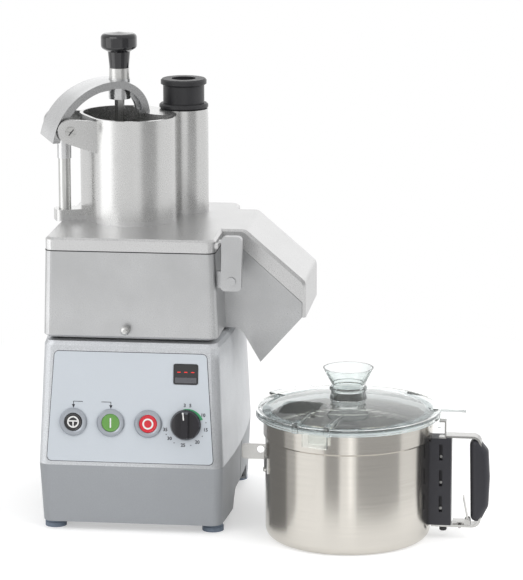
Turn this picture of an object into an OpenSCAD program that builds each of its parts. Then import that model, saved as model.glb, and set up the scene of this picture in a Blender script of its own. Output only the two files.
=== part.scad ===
// Commercial food processor: motor base, vegetable attachment and a separate cutter bowl.
// Millimetres, +Z up, +X to the right and +Y to the back, as seen by the user.
// The machine is drawn round its vertical spindle axis and the cutter bowl round its own axis.

/* [Places on the table] */
// Sideways place of the machine's spindle axis
machine_x = -164.45; // [-220:0.05:-120]
// Depth place of the machine's spindle axis
machine_y = 32.04; // [0:0.01:60]
// Sideways place of the cutter bowl's axis
cutter_x = 123.75; // [115:0.05:180]
// Depth place of the cutter bowl's axis
cutter_y = -86.36; // [-110:0.01:-60]

/* [Motor base] */
// Height of the feet under the skirt
foot_h = 12; // [8:0.5:20]
// Radius of a foot
foot_r = 14.5; // [10:0.5:18]
// Height of the skirt's top edge
skirt_top_z = 93; // [70:1:110]
// Wall of the plastic skirt
skirt_wall = 4; // [3:0.5:6]
// Height of the casting's top face
casting_top_z = 261; // [230:1:290]
// Wall of the casting
casting_wall = 5; // [4:0.5:8]
// Spindle axis to the casting's lower front edge
front_low = 156; // [150:1:170]
// Spindle axis to the casting's upper front edge
front_high = 139; // [130:1:146]
// Spindle axis to the casting's lower back edge
back_low = 165; // [155:1:185]
// Spindle axis to the casting's upper back edge
back_high = 150; // [146:1:153]
// Half width of the casting at its lower corners
half_low = 123; // [118:1:128]
// Half width of the casting at its upper corners
half_high = 116.5; // [112:0.5:118]
// Outward bow of each side
side_bow = 8; // [4:0.5:12]
// Radius of the base's upright corners
base_corner_r = 14; // [10:1:18]
// Draw of the skirt towards the feet
skirt_draw = 8; // [4:1:10]
// Length of each hand arch
arch_len = 150; // [120:5:170]
// Rise of the hand arch
arch_rise = 26; // [15:1:34]
// Thickness of the label plate
plate_t = 1; // [0.8:0.1:2]
// Width of the label plate
plate_w = 214; // [200:1:220]
// Radius of a push button's bezel
bezel_r = 18.7; // [16:0.1:20]
// Radius of a push button
button_r = 12; // [9:0.5:13]
// Travel of a push button
button_travel = 2.5; // [1.5:0.5:3.5]
// Radius of the speed dial
dial_r = 20.5; // [17:0.5:23]
// Height of the speed dial
dial_h = 15; // [12:1:20]

/* [Motor] */
// Radius of the drive shaft
shaft_r = 10; // [8:0.5:12]
// Radius of the motor frame
motor_r = 70; // [60:1:76]
// Length of the stator
stator_len = 84; // [60:2:90]
// Radius of the rotor
rotor_r = 38; // [30:1:42]
// Radius of a ball bearing
bearing_r = 21; // [19:0.5:24]
// Height of a ball bearing
bearing_h = 12; // [10:1:14]

/* [Vegetable attachment] */
// Height of the attachment's lower edge
bowl_low_z = 264.6; // [264:0.2:268]
// Height of the parting between attachment and feed head
parting_z = 381.8; // [360:0.2:400]
// Width of the attachment at its lower edge
bowl_low_w = 234; // [230:1:240]
// Width of the attachment at the parting
bowl_top_w = 227; // [220:1:230]
// Spindle axis to the attachment's front
bowl_front = 142; // [134:1:148]
// Spindle axis to the attachment's back
bowl_back = 134.5; // [128:0.5:140]
// Wall of the attachment casting
bowl_wall = 5; // [4:0.5:6]
// Radius of the disc chamber
chamber_r = 100; // [98:0.5:104]
// Radius of the slicing disc
disc_r = 95; // [90:0.5:96]
// Thickness of the slicing disc
disc_t = 4; // [3:0.5:6]
// Spindle axis to the front face of the chute
chute_front = 60; // [52:1:64]
// Spindle axis to the back face of the chute
chute_back = 88; // [80:1:92]
// Reach of the chute
chute_reach = 220; // [205:1:235]
// Height of the chute's lowest lip
lip_z = 218; // [205:1:230]
// Reach of the chute's lowest lip
lip_x = 164; // [155:1:175]
// Reach at which the chute starts to slope
chute_turn_x = 130; // [126:1:138]
// Height of the chute's outer end at the parting
chute_end_z = 301; // [290:1:312]
// Height of the mouth's top at the chute's end
mouth_top_z = 280.5; // [272:0.5:288]
// Radius of the ball stud on the front
ball_r = 6.5; // [5:0.5:8]
// Width of the latch lever
latch_w = 26; // [22:1:28]
// Length of the latch lever
latch_len = 73; // [68:1:80]

/* [Feed head] */
// Height of the lid's top face
lid_top_z = 399; // [396:0.5:404]
// Wall of the feed head casting
head_wall = 4.5; // [4:0.5:5.5]
// Height of the hopper's rim
rim_z = 541.5; // [520:0.5:560]
// Radius of the hopper's rounded front and back
hopper_r = 61; // [56:0.5:63]
// Sideways place of the hopper's front round
hopper_front_x = -17; // [-22:1:-12]
// Depth place of the hopper's front round
hopper_front_y = 1; // [-4:1:5]
// Sideways place of the hopper's back round
hopper_back_x = -34; // [-38:1:-30]
// Depth place of the hopper's back round
hopper_back_y = 30; // [26:1:34]
// Radius of the hopper's hollow round the tube
kidney_r = 69; // [66:0.5:72]
// Sideways place of the tube's axis
tube_x = 43; // [40:0.5:47]
// Depth place of the tube's axis
tube_y = 70; // [66:1:74]
// Bore radius of the tube
tube_bore_r = 29; // [27:0.5:30]
// Wall of the tube
tube_wall = 4.5; // [4:0.25:6]
// Turn of the pusher arm seen from above
arm_turn = 22; // [18:1:26]
// Sideways place of the guide rod
rod_x = -109.5; // [-112:0.5:-107]
// Depth place of the guide rod
rod_y = -9; // [-12:1:-6]
// Radius of the guide rod
rod_r = 8.4; // [7:0.1:9]
// Height of the guide rod's block
block_h = 14.5; // [10:0.5:20]
// Height of the pusher arm's pin
pin_z = 526; // [518:1:530]
// Radius of the pusher arm's pin
pin_r = 4.5; // [3.5:0.5:5.5]
// Radius of the arm's long arc
arch_long_r = 94.5; // [92:0.5:97]
// Radius of the arm's short arc
arch_short_r = 46.5; // [44:0.5:48]
// Height of the arm's top face
arch_top_z = 588; // [584:1:594]
// Guide rod to the arm's crown
arch_crown = 69; // [67:1:72]
// Half width of the arm at its root
arm_root_half = 45; // [38:1:48]
// Half width of the arm at its free end
arm_end_half = 17; // [14:1:22]
// Skin of the arm
arm_skin = 5; // [4:0.5:7]

/* [Pushers] */
// Guide rod to the pusher rod
push_reach = 77.5; // [74:0.5:81]
// Width of the hexagonal rod across its corners
hex_w = 13.6; // [11:0.2:15]
// Radius of the pusher's guide bush
bush_r = 13.7; // [12:0.1:16]
// Height of the guide bush above the arm
bush_rise = 15; // [11:0.5:18]
// Radius of the knob's cap
knob_r = 24.7; // [20:0.1:28]
// Height of the knob
knob_h = 49; // [42:1:62]
// Thickness of the pusher plate
push_plate_t = 12; // [8:1:20]
// Gap round the pusher plate
push_gap = 1.2; // [0.8:0.1:2]
// Radius of the small pusher's body
small_r = 28.2; // [26:0.1:28.4]
// Radius of the small pusher's collar
small_collar_r = 33.6; // [31:0.1:36]
// Height of the small pusher above the tube
small_head_h = 41; // [30:1:50]

/* [Cutter bowl] */
// Radius of the cutter bowl
cut_r = 110; // [100:1:111]
// Height of the cutter bowl's rim
cut_rim_z = 165; // [155:1:180]
// Sheet thickness of the bowl
cut_wall = 2; // [1.5:0.25:3]
// Radius of the bowl's lower corner
cut_corner_r = 12; // [8:1:34]
// Height at which the bowl's wider band starts
cut_band_z = 136; // [128:1:146]
// How far the band stands out
cut_band_out = 2.5; // [1:0.25:3.5]
// Radius of the central stem
stem_r = 27; // [22:1:30]
// Height of the central stem
stem_h = 122; // [100:1:128]
// Radius of the lid
lid_r = 122.6; // [121:0.2:126]
// Sheet thickness of the lid
lid_t = 3; // [2.5:0.25:4]
// Rise of the lid's dome
lid_rise = 17; // [12:1:22]
// Height of the lid's ring
lid_ring_h = 8.5; // [7:0.5:12]
// Radius of the funnel's rim
funnel_r = 33.6; // [30:0.2:38]
// Radius of the funnel's waist
funnel_waist_r = 22.7; // [20:0.2:25]
// Height of the funnel above the dome
funnel_h = 40; // [30:1:50]
// Thickness of a cutter blade
blade_t = 2; // [1.5:0.25:3]
// Depth of the handle post
post_d = 26; // [20:1:34]
// Thickness of the handle strap
strap_t = 3; // [2:0.5:4]
// Width of the handle strap
strap_w = 20; // [16:1:24]
// Thickness of the grip
grip_t = 23; // [20:1:26]

/* [Hidden] */

// Smoothness of round surfaces and of the rounds inside a hull
$fn = 64;
hull_fn = 24;
bow_fn = 240;
corner_steps = 6;

// Working gaps
over = 1;
slice_t = 0.2;
move_gap = 0.3;
run_gap = 0.05;
seat_gap = 0.2;

// Shape of the casting
casting_edge_r = 8;
shoulder_z = casting_top_z - casting_edge_r;
lean = atan((front_low - front_high) / (shoulder_z - skirt_top_z - slice_t));
bow_shares = [1, 2, 3, 4, 5, 6, 7] / 8;
edge_turns = [0, 45, 90];
boss_r = 8;
boss_ring_r = motor_r - boss_r;
seal_r = 18;
seal_h = 9;
seal_rim_h = 3;
support_out_r = 66;
support_in_r = 58;
support_z = bowl_low_z + bowl_wall;
seat_boss_r = seal_r + casting_wall;

// Front controls, measured up the leaning front from the skirt's top edge
plate_low = 5.5;
plate_high = 153;
plate_taper = 10;
plate_corner_r = 6;
plate_sink = 0.6;
control_up = 58.5;
dial_in = 32;
pulse_in = 30.8;
dial_x = plate_w / 2 - dial_in;
pulse_x = pulse_in - plate_w / 2;
control_pitch = (dial_x - pulse_x) / 3;
stop_x = dial_x - control_pitch;
start_x = stop_x - control_pitch;
display_in = 32.5;
display_x = plate_w / 2 - display_in;
display_up = 126;
display_w = 33;
display_h = 27.5;
display_t = 3;
display_corner_r = 3;
bezel_h = 3.4;
bezel_chamfer = 1.6;
sleeve_t = 2;
button_dish = 1;
button_back = 14;
button_rest = 1.5;
sleeve_len = button_back + button_travel + button_rest;
switch_w = 24;
switch_h = 30;
switch_t = 20;
dial_shaft_r = 3;
dial_gap = 0.8;
dial_taper = 2;
dial_grip_w = 9;
dial_grip_h = 9;
dial_control_r = 12;
dial_control_t = 16;
dial_shaft_len = 20;

// Skirt, bottom plate and feet
side_draw_share = 0.4;
lip_t = 4;
lip_w = 34;
arch_mid_y = 13;
arch_corner_r = 14;
groove_w = 3;
groove_y = -6;
groove_d = 1.5;
foot_x = 107;
foot_front_y = -123;
foot_back_y = 132;
foot_flare = 1;
foot_pocket_r = 7;
foot_pocket_h = 5;
bolt_r = 3;
bolt_head_r = 5.5;
bolt_head_h = 3;
nut_h = 4;
floor_t = 2;
floor_gap = 2;
floor_half = 97;
vent_w = 5;
vent_len = 70;
vent_pitch = 11;
vent_count = 7;

// Motor inside the casting
frame_t = 4;
motor_top_z = 232;
motor_low_z = 62;
shield_t = 6;
collar_h = 9;
stator_gap = 1;
stator_z = 96;
winding_h = 14;
winding_inset = 6;
shaft_low_z = 34;
fan_r = 52;
fan_z = 38;
fan_disc_t = 2;
fan_blade_h = 12;
fan_blade_t = 2;
fan_blades = 9;
fan_hub_r = 16;
board_x = 92;
board_w = 120;
board_h = 130;
board_t = 2;
board_foot = 14;
sink_t = 14;
sink_fins = 8;
sink_fin_share = 0.5;
part_r = 11;
part_h = 15;
gland_x = -62;
gland_up = 34;
gland_r = 8;
gland_flange_r = 13;
gland_flange_t = 5;
gland_nose_h = 14;
gland_hole_r = 4;

// Vegetable attachment
deck_t = 5;
bowl_corner_r = 11;
bowl_edge = 3;
chamber_floor_z = support_z + bowl_wall;
hub_r = 20;
hub_h = 6;
hub_clear = 2;
hub_bore_r = shaft_r + hub_clear;
chute_wall = 5;
chute_root_x = 50;
chute_knee_x = 137;
chute_fillet = 16;
chute_far = 26;
ball_neck_r = 3.5;
ball_stand = 7.5;
ball_x = -5.2;
ball_z = bowl_low_z + ball_r * 2;
hinge_back = 9;
hinge_rise = 4;
hinge_y = bowl_back + hinge_back;
hinge_z = parting_z + hinge_rise;
knuckle_r = 7;
hinge_pin_r = 4;
knuckle_len = 20;
knuckle_x = 52;
bracket_w = 11;
bracket_drop = 26;
bracket_start = 4;
pin_cap_r = 6;
pin_cap_t = 2.5;

// Discs on the drive shaft
shaft_drop = 20;
disc_drop = 10;
shaft_top_z = parting_z - shaft_drop;
ejector_z = chamber_floor_z + hub_h + move_gap;
ejector_t = 4;
ejector_gap = 3;
ejector_hub_r = 17;
ejector_hub_h = 30;
paddle_h = 10;
paddle_t = 8;
disc_z = parting_z - disc_drop;
disc_slot_w = 10;
disc_slot_in = 22;
disc_cap_r = 15;
disc_cap_h = 6;
blade_w = 20;
blade_over = 2;
blade_edge_t = 1.6;

// Latch on the attachment's right side
latch_out = 21;
latch_x = bowl_top_w / 2 + latch_out;
latch_low_z = 331;
latch_y = -131;
latch_t = 11;
latch_corner_r = 6;
latch_pin_z = 344;
latch_pin_r = 4;
nose_reach = 3.5;
nose_drop = 3.5;
latch_wave = 1.5;
lug_reach = 3.8;
lug_t = 10;
lug_h = 6;
lug_drop = 11;
latch_arm_t = 8;
latch_arm_h = 22;

// Feed head
cap_edge = 3;
cap_corner_r = 12;
cap_plate_t = 5;
ring_drop = 15;
hood_turn_x = 144;
hood_edge = 3;
hood_corner_r = 12;
hood_gap = 0.6;
hood_rise = 28;
tube_r = tube_bore_r + tube_wall;
hopper_span = norm([hopper_back_x - hopper_front_x, hopper_back_y - hopper_front_y]);
hopper_dir = atan2(hopper_back_y - hopper_front_y, hopper_back_x - hopper_front_x);
skin_step = 1.4;
skin_from = 225;
skin_to = 345;
hopper_out_r = hopper_r - skin_step;
hopper_in_r = hopper_out_r - head_wall;
ring_low_z = lid_top_z - ring_drop;
head_low_z = parting_z + move_gap;
hood_out_x = chute_reach + hood_gap + head_wall;
hood_end_z = chute_end_z + hood_rise;
block_end = 14;
block_half = 14;
block_reach = 34;
block_round = 7;
ear_gap = 0.8;
ear_t = 6;
ear_r = 16.5;
ear_reach = 48;
ear_drop = 4;
ear_low_z = 490;
ear_turn = -110;

// Pusher arm, drawn from the guide rod towards the hopper
arm_left = -30;
arm_foot_z = 510;
arm_end_z = rim_z + move_gap;
arm_end_u = arch_crown + arch_short_r;
arch_flange = 10;
arch_flange_w = 4.5;
arch_rib = 15;
arch_rib_w = 13;
arm_barrel_r = 13.5;
arm_boss_r = 14.7;
arm_boss_z = 561;
rod_sleeve_r = 9.6;
rod_sleeve_z = 483;
rod_sleeve_top = pin_z - arm_barrel_r;
rod_top_z = rod_sleeve_top - move_gap;
pin_u = -1.4;
bush_top_z = arch_top_z + bush_rise;
knob_top_z = bush_top_z + knob_h;
pin_head_r = 7;
pin_head_h = 3.5;
pin_slot_w = 1.6;
bush_collar = 2;

// Pushers
hex_r = hex_w / 2;
hex_gap = 0.1;
plate_low_z = lid_top_z - ring_drop + over;
rod_screw = 8;
neck_top_r = 15.3;
neck_low_r = 13.2;
cap_h = 21;
cap_round = 6;
small_low_z = plate_low_z;
small_bore_r = 16.5;
small_collar_h = 7;
small_lip_r = 31.4;
small_lip_h = 9;
small_floor_t = 6;
small_round = 2;

// Cutter bowl
stem_wall = 2.5;
stem_flange = 3;
cutter_hub_wall = 6;
cutter_hub_low = 8;
cutter_cap_h = 16;
cutter_cap_r = 12;
cutter_ring_t = 4;
cutter_ring_h = 9;
blade_reach = 102;
blade_width = 34;
blade_arc_r = 90;
blade_arc_x = 40;
blade_low = 14;
blade_rise = 36;
dome_in = 114;
dome_r = (dome_in * dome_in + lid_rise * lid_rise) / (2 * lid_rise);
lid_seal_t = 3;
lid_seal_drop = 4;
lid_seal_in_r = 103;
lid_low_z = cut_rim_z + lid_seal_t;
dome_top_z = lid_low_z + lid_t + lid_rise;
dome_mid_z = dome_top_z - dome_r;
skirt_in_r = cut_r + cut_band_out + seat_gap * 12;
funnel_low_r = 24.7;
funnel_waist_h = 15;
funnel_rim_t = 2.4;
collar_out = 2.2;
collar_half = 2;
fin_angle = -108;
fin_half = 22.5;
fin_len = 62;
fin_root = 8;
fin_top_z = 178;
tab_t = 3;
tab_h = 17;
tab_shares = [-0.28, 0.5];
ear_plan = [[70, 78], [79, 78], [144.6, 56], [156, 4], [110, 4]];
ear_t_lid = 3.5;
rear_ear_turns = [118, 148];
rear_ear_r = 134;
lug_w = 9;
lug_y = 1.5;
lug_t_lid = 4;
lug_reach_r = 123;
lug_low_z = 148;
post_in_x = 96;
post_out_x = 138;
post_low_z = 19;
post_top_z = 138;
post_slot_x = 124.5;
post_slot_w = 4.4;
post_slot_h = 21.8;
post_slots = [37, 72.5, 107.9];
post_slot_d = 6;
post_screw_r = 2;
post_shank_r = 1.2;
post_shank_len = 8;
strap_reach = 178;
strap_root_x = 112;
strap_top_x = 131;
strap_corner_r = 12;
strap_low_z = post_low_z - strap_t;
grip_path = [[170, 128], [179, 117], [181, 83], [179.6, 47], [172, 32], [174, 118], [174, 44]];
grip_round = 8;
trigger_x = 160;
trigger_z = 22.5;
trigger_t = 1.6;
trigger_w = 14;
trigger_h = 34;
trigger_base = 20;
trigger_lean = 11;
trigger_pin_r = 1.8;
trigger_lug_x = 149.5;
trigger_lug_low = 12;
trigger_ear_w = 8;
trigger_ear_t = 2;
trigger_hole_r = 3.8;
plunger_x = 127.6;
plunger_r = 5;
plunger_low_z = 8.8;
plunger_len = 22;
plunger_travel = 3;
catch_x = 129;
catch_w = 12;
catch_y = -13;
catch_t = 2;
catch_top_z = 162;
catch_lip = 7;
hook_z = 99;
hook_h = 21;
hook_t = 2;
hook_reach = 142.5;
hook_round = 4;
hook_foot_front = 42;
hook_foot_back = 10;
hook_foot_drop = 9;
hook_hole_r = 5;
hook_hole_x = 117;
hook_stud_r = 3;
hook_stud_len = 5;
hook_stud_turn = 199;
hook_stud_drop = 4;

function arc_points(x, y, r, from, to, steps) = [
    for (i = [0:steps]) let (turn = from + (to - from) * i / steps) [x + r * cos(turn), y + r * sin(turn)]
];

// Arc that rounds the corner p between its neighbours a and b
function corner_arc(a, p, b, r) = r == 0 ? [p] : let (
    u = (a - p) / norm(a - p),
    v = (b - p) / norm(b - p),
    half = acos(u * v) / 2,
    mid = p + (u + v) / norm(u + v) * r / sin(half),
    start = p + u * r / tan(half) - mid,
    end = p + v * r / tan(half) - mid,
    from = atan2(start[1], start[0]),
    sweep = (atan2(end[1], end[0]) - from + 540) % 360 - 180
) arc_points(mid[0], mid[1], r, from, from + sweep, corner_steps);

function rounded(points, radii) = [
    for (i = [0:len(points) - 1]) each corner_arc(
        points[(i + len(points) - 1) % len(points)], points[i], points[(i + 1) % len(points)],
        is_list(radii) ? radii[i] : radii)
];

function box(left, low, right, high) = [[left, low], [right, low], [right, high], [left, high]];

// Frames that the pieces are drawn in
module machine() {
    translate([machine_x, machine_y, 0]) children();
}

module cutter() {
    translate([cutter_x, cutter_y, 0]) children();
}

module front_panel() {
    machine() translate([0, -front_low, skirt_top_z + slice_t]) rotate([90 - lean, 0, 0]) children();
}

module arm_frame() {
    machine() translate([rod_x, rod_y, 0]) rotate([0, 0, arm_turn]) children();
}

// Draws a profile of reach and height with a depth from y to y + len
module deep(y, len) {
    translate([0, y + len, 0]) rotate([90, 0, 0]) linear_extrude(height = len) children();
}

module up(z) {
    translate([0, 0, z]) children();
}

module slice(z) {
    up(z) linear_extrude(height = slice_t) children();
}

module round_box_plan(w, front, back, r) {
    polygon(rounded(box(-w / 2, -front, w / 2, back), r));
}

// Motor base
module base_plan(front, back, half_w, r) {
    bow = [for (share = bow_shares)
        [half_w + side_bow * share * (1 - share) * 4, (front + back) * share - front]];
    side = concat([[half_w, -front]], bow, [[half_w, back]]);
    count = len(side);
    flat = [for (place = bow) 0];
    polygon(rounded(
        concat(side, [for (i = [count - 1:-1:0]) [-side[i][0], side[i][1]]]),
        concat([r], flat, [r, r], flat, [r])));
}

// Solid block of the casting, inset all round for its cavity
module casting_block(inset) {
    hull() {
        slice(skirt_top_z)
            base_plan(front_low - inset, back_low - inset, half_low - inset, base_corner_r);
        for (turn = edge_turns) {
            draw = inset + casting_edge_r * (1 - cos(turn));
            slice(casting_top_z - inset - slice_t - casting_edge_r * (1 - sin(turn)))
                base_plan(front_high - draw, back_high - draw, half_high - draw, base_corner_r);
        }
    }
}

module boss_places() {
    for (turn = [45:90:315]) rotate([0, 0, turn]) translate([boss_ring_r, 0, 0]) children();
}

module plate_outline(grow) {
    low = plate_w / 2 + plate_taper / 2 + grow;
    high = plate_w / 2 - plate_taper / 2 + grow;
    polygon(rounded([
        [-low, plate_low - grow], [low, plate_low - grow], [high, plate_high + grow],
        [-high, plate_high + grow]
    ], plate_corner_r + grow));
}

module display_outline(grow) {
    half = [display_w / 2 + grow, display_h / 2 + grow];
    translate([display_x, display_up])
        polygon(rounded(box(-half[0], -half[1], half[0], half[1]), display_corner_r));
}

// Through holes of the three buttons and the dial, in the frame of the front
module control_holes(from, to) {
    for (x = [pulse_x, start_x, stop_x]) translate([x, control_up, from])
        cylinder(r = button_r + move_gap + sleeve_t + seat_gap, h = to - from);
    translate([dial_x, control_up, from]) cylinder(r = dial_shaft_r + over, h = to - from);
}

module motor_housing() {
    color([0.80, 0.82, 0.83]) difference() {
        machine() union() {
            difference() {
                casting_block(0);
                casting_block(casting_wall);
                up(skirt_top_z - over) linear_extrude(height = over + slice_t)
                    base_plan(front_low - casting_wall, back_low - casting_wall, half_low - casting_wall,
                        base_corner_r);
            }
            boss_places() up(motor_top_z)
                cylinder(r = boss_r, h = casting_top_z - casting_wall / 2 - motor_top_z);
            up(casting_top_z - casting_wall - seal_h)
                cylinder(r = seat_boss_r, h = casting_wall + seal_h + seal_rim_h);
            up(casting_top_z - over) difference() {
                cylinder(r = support_out_r, h = support_z - casting_top_z + over);
                up(-over) cylinder(r = support_in_r, h = support_z);
            }
        }
        machine() {
            cylinder(r = shaft_r + over, h = casting_top_z + seal_h);
            up(casting_top_z + seal_rim_h - seal_h) cylinder(r = seal_r, h = seal_h + over);
            boss_places() up(motor_top_z - over)
                cylinder(r = bolt_r, h = casting_top_z - casting_wall - motor_top_z + over);
        }
        front_panel() {
            up(-plate_sink) linear_extrude(height = casting_wall) plate_outline(seat_gap);
            up(-display_t) linear_extrude(height = casting_wall) display_outline(seat_gap);
            control_holes(-casting_wall * 2, casting_wall);
        }
    }
}

module skirt_plan(z, inset) {
    draw = skirt_draw * (skirt_top_z - z) / (skirt_top_z - foot_h);
    base_plan(front_low - draw - inset, back_low - draw - inset,
        half_low - draw * side_draw_share - inset, base_corner_r);
}

module skirt_block(low_z, high_z, inset) {
    hull() {
        slice(low_z) skirt_plan(low_z, inset);
        slice(high_z - slice_t) skirt_plan(high_z, inset);
    }
}

module foot_places() {
    for (x = [-foot_x, foot_x], y = [foot_front_y, foot_back_y]) translate([x, y, 0]) children();
}

module arch_cut(side) {
    half = arch_len / 2;
    reach = half_low + side_bow + over;
    along_x(side > 0 ? reach - lip_w : -reach, lip_w) translate([arch_mid_y, foot_h]) polygon(rounded([
        [-half, -arch_rise], [half, -arch_rise], [half, 0], [half - arch_rise / 2, arch_rise],
        [arch_rise / 2 - half, arch_rise], [-half, 0]
    ], [0, 0, 0, arch_corner_r, arch_corner_r, 0]));
}

module gland_frame() {
    back_lean = atan(skirt_draw / (skirt_top_z - foot_h));
    draw = skirt_draw * (skirt_top_z - foot_h - gland_up) / (skirt_top_z - foot_h);
    translate([gland_x, back_low - draw, foot_h + gland_up]) rotate([-90 - back_lean, 0, 0]) children();
}

module base_skirt() {
    machine() color([0.60, 0.62, 0.64]) difference() {
        skirt_block(foot_h, skirt_top_z, 0);
        difference() {
            union() {
                skirt_block(foot_h + lip_t, skirt_top_z, skirt_wall);
                up(skirt_top_z - over) linear_extrude(height = over * 2)
                    skirt_plan(skirt_top_z, skirt_wall);
            }
            foot_places() up(foot_h) cylinder(r = foot_r - foot_flare, h = lip_t + floor_t);
        }
        up(foot_h - over) linear_extrude(height = lip_t + over * 2)
            skirt_plan(foot_h, lip_w);
        foot_places() up(foot_h - over) cylinder(r = bolt_r + seat_gap, h = lip_t * 2 + over);
        for (side = [-1, 1]) {
            arch_cut(side);
            translate([side * (half_low + side_bow), groove_y, 0])
                translate([-groove_d * 2, -groove_w / 2, foot_h]) cube([groove_d * 4, groove_w, skirt_top_z]);
        }
        gland_frame() up(-skirt_wall * 2) cylinder(r = gland_r + seat_gap, h = skirt_wall * 3);
    }
}

module bottom_plate() {
    machine() color([0.72, 0.73, 0.74]) difference() {
        up(foot_h + lip_t) linear_extrude(height = floor_t) difference() {
            intersection() {
                skirt_plan(foot_h + lip_t, skirt_wall + floor_gap);
                square([floor_half * 2, back_low * 2], center = true);
            }
            for (x = [-foot_x, foot_x], y = [foot_front_y, foot_back_y]) translate([x, y])
                circle(r = foot_r + floor_gap);
        }
        for (i = [0:vent_count - 1])
            translate([-vent_len / 2, foot_back_y - vent_pitch * (i + 1) - foot_r, foot_h])
                cube([vent_len, vent_w, lip_t * 2]);
    }
}

module feet() {
    color([0.27, 0.31, 0.37]) machine() foot_places() difference() {
        union() {
            cylinder(r = foot_r - foot_flare, h = foot_h);
            cylinder(r = foot_r, h = foot_h / 2);
        }
        up(-over) cylinder(r = foot_pocket_r, h = foot_pocket_h + over);
        cylinder(r = bolt_r + seat_gap, h = foot_h + over);
    }
}

module foot_bolts() {
    color([0.70, 0.71, 0.73]) machine() foot_places() {
        up(foot_pocket_h - bolt_head_h) cylinder(r = bolt_head_r, h = bolt_head_h);
        up(foot_pocket_h) cylinder(r = bolt_r, h = foot_h + lip_t + floor_t + nut_h - foot_pocket_h);
        up(foot_h + lip_t + floor_t) cylinder(r = bolt_head_r, h = nut_h, $fn = 6);
    }
}

// Front controls
module label_plate() {
    color([0.80, 0.84, 0.88]) front_panel() up(-plate_sink) difference() {
        linear_extrude(height = plate_t) difference() {
            plate_outline(0);
            display_outline(seat_gap);
        }
        control_holes(-over, plate_t + over);
    }
}

module display_window() {
    color([0.07, 0.07, 0.09]) front_panel() up(-display_t)
        linear_extrude(height = display_t + plate_t) display_outline(0);
}

module button_bezels() {
    sleeve_r = button_r + move_gap + sleeve_t;
    color([0.66, 0.69, 0.72]) front_panel() for (x = [pulse_x, start_x, stop_x])
        translate([x, control_up, plate_t - plate_sink]) rotate_extrude() polygon([
            [sleeve_r - sleeve_t, bezel_h - bezel_chamfer / 2], [sleeve_r, bezel_h],
            [bezel_r - bezel_chamfer, bezel_h], [bezel_r, bezel_h - bezel_chamfer], [bezel_r, 0],
            [sleeve_r, 0], [sleeve_r, -sleeve_len], [sleeve_r - sleeve_t, -sleeve_len]
        ]);
}

module push_button(x) {
    front_panel() translate([x, control_up, plate_t - plate_sink]) rotate_extrude() polygon([
        [0, -button_back], [button_r, -button_back], [button_r, bezel_h - button_dish],
        [button_r - button_dish, bezel_h], [button_r - button_dish * 2, bezel_h - button_dish / 2],
        [0, bezel_h - button_dish]
    ]);
}

module pulse_button() {
    color([0.13, 0.13, 0.15]) push_button(pulse_x);
}

module start_button() {
    color([0.36, 0.62, 0.28]) push_button(start_x);
}

module stop_button() {
    color([0.85, 0.15, 0.18]) push_button(stop_x);
}

module button_switches() {
    color([0.20, 0.21, 0.24]) front_panel() for (x = [pulse_x, start_x, stop_x])
        translate([x - switch_w / 2, control_up - switch_h / 2, plate_t - plate_sink - sleeve_len - switch_t])
        cube([switch_w, switch_h, switch_t]);
}

module speed_dial() {
    color([0.10, 0.10, 0.11]) front_panel() translate([dial_x, control_up, plate_t - plate_sink + dial_gap]) {
        rotate_extrude() polygon([
            [0, 0], [dial_r, 0], [dial_r, dial_taper], [dial_r - dial_taper, dial_h - dial_grip_h],
            [0, dial_h - dial_grip_h]
        ]);
        intersection() {
            cylinder(r1 = dial_r - dial_taper / 2, r2 = dial_r - dial_taper * 2, h = dial_h);
            translate([-dial_grip_w / 2, -dial_r, 0]) cube([dial_grip_w, dial_r * 2, dial_h]);
        }
        up(-dial_shaft_len) cylinder(r = dial_shaft_r, h = dial_shaft_len + dial_taper);
    }
}

module dial_control() {
    color([0.33, 0.34, 0.36]) front_panel()
        translate([dial_x, control_up, -casting_wall - move_gap - dial_control_t])
        difference() {
            cylinder(r = dial_control_r, h = dial_control_t);
            up(dial_control_t - dial_shaft_len + casting_wall)
                cylinder(r = dial_shaft_r + run_gap, h = dial_shaft_len);
        }
}

// Motor
module motor_frame() {
    color([0.45, 0.47, 0.50]) machine() difference() {
        union() {
            up(motor_low_z) cylinder(r = motor_r, h = motor_top_z - motor_low_z);
            up(motor_low_z - collar_h)
                cylinder(r = bearing_r + frame_t, h = motor_top_z - motor_low_z + collar_h * 2);
        }
        up(motor_low_z + shield_t)
            cylinder(r = motor_r - frame_t, h = motor_top_z - motor_low_z - shield_t * 2);
        cylinder(r = shaft_r + over, h = casting_top_z);
        up(motor_low_z - collar_h - over) cylinder(r = bearing_r, h = bearing_h + over);
        up(motor_top_z + collar_h - bearing_h) cylinder(r = bearing_r, h = bearing_h + over);
        boss_places() up(motor_top_z - shield_t - over)
            cylinder(r = bolt_r + seat_gap, h = shield_t + over * 2);
    }
}

module stator() {
    inner = rotor_r + stator_gap;
    outer = motor_r - frame_t;
    color([0.68, 0.42, 0.24]) machine() up(stator_z) difference() {
        union() {
            cylinder(r = outer, h = stator_len);
            up(-winding_h) cylinder(r = outer - winding_inset, h = stator_len + winding_h * 2);
        }
        up(-winding_h - over) cylinder(r = inner, h = stator_len + winding_h * 2 + over * 2);
    }
}

module rotor() {
    color([0.55, 0.56, 0.58]) machine() up(stator_z) difference() {
        cylinder(r = rotor_r, h = stator_len);
        up(-over) cylinder(r = shaft_r, h = stator_len + over * 2);
    }
}

module drive_shaft() {
    color([0.75, 0.76, 0.78]) machine() up(shaft_low_z)
        cylinder(r = shaft_r, h = shaft_top_z - shaft_low_z);
}

module bearing(z) {
    up(z) difference() {
        cylinder(r = bearing_r, h = bearing_h);
        up(-over) cylinder(r = shaft_r + run_gap, h = bearing_h + over * 2);
    }
}

module upper_bearing() {
    color([0.80, 0.81, 0.83]) machine() bearing(motor_top_z + collar_h - bearing_h);
}

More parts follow.
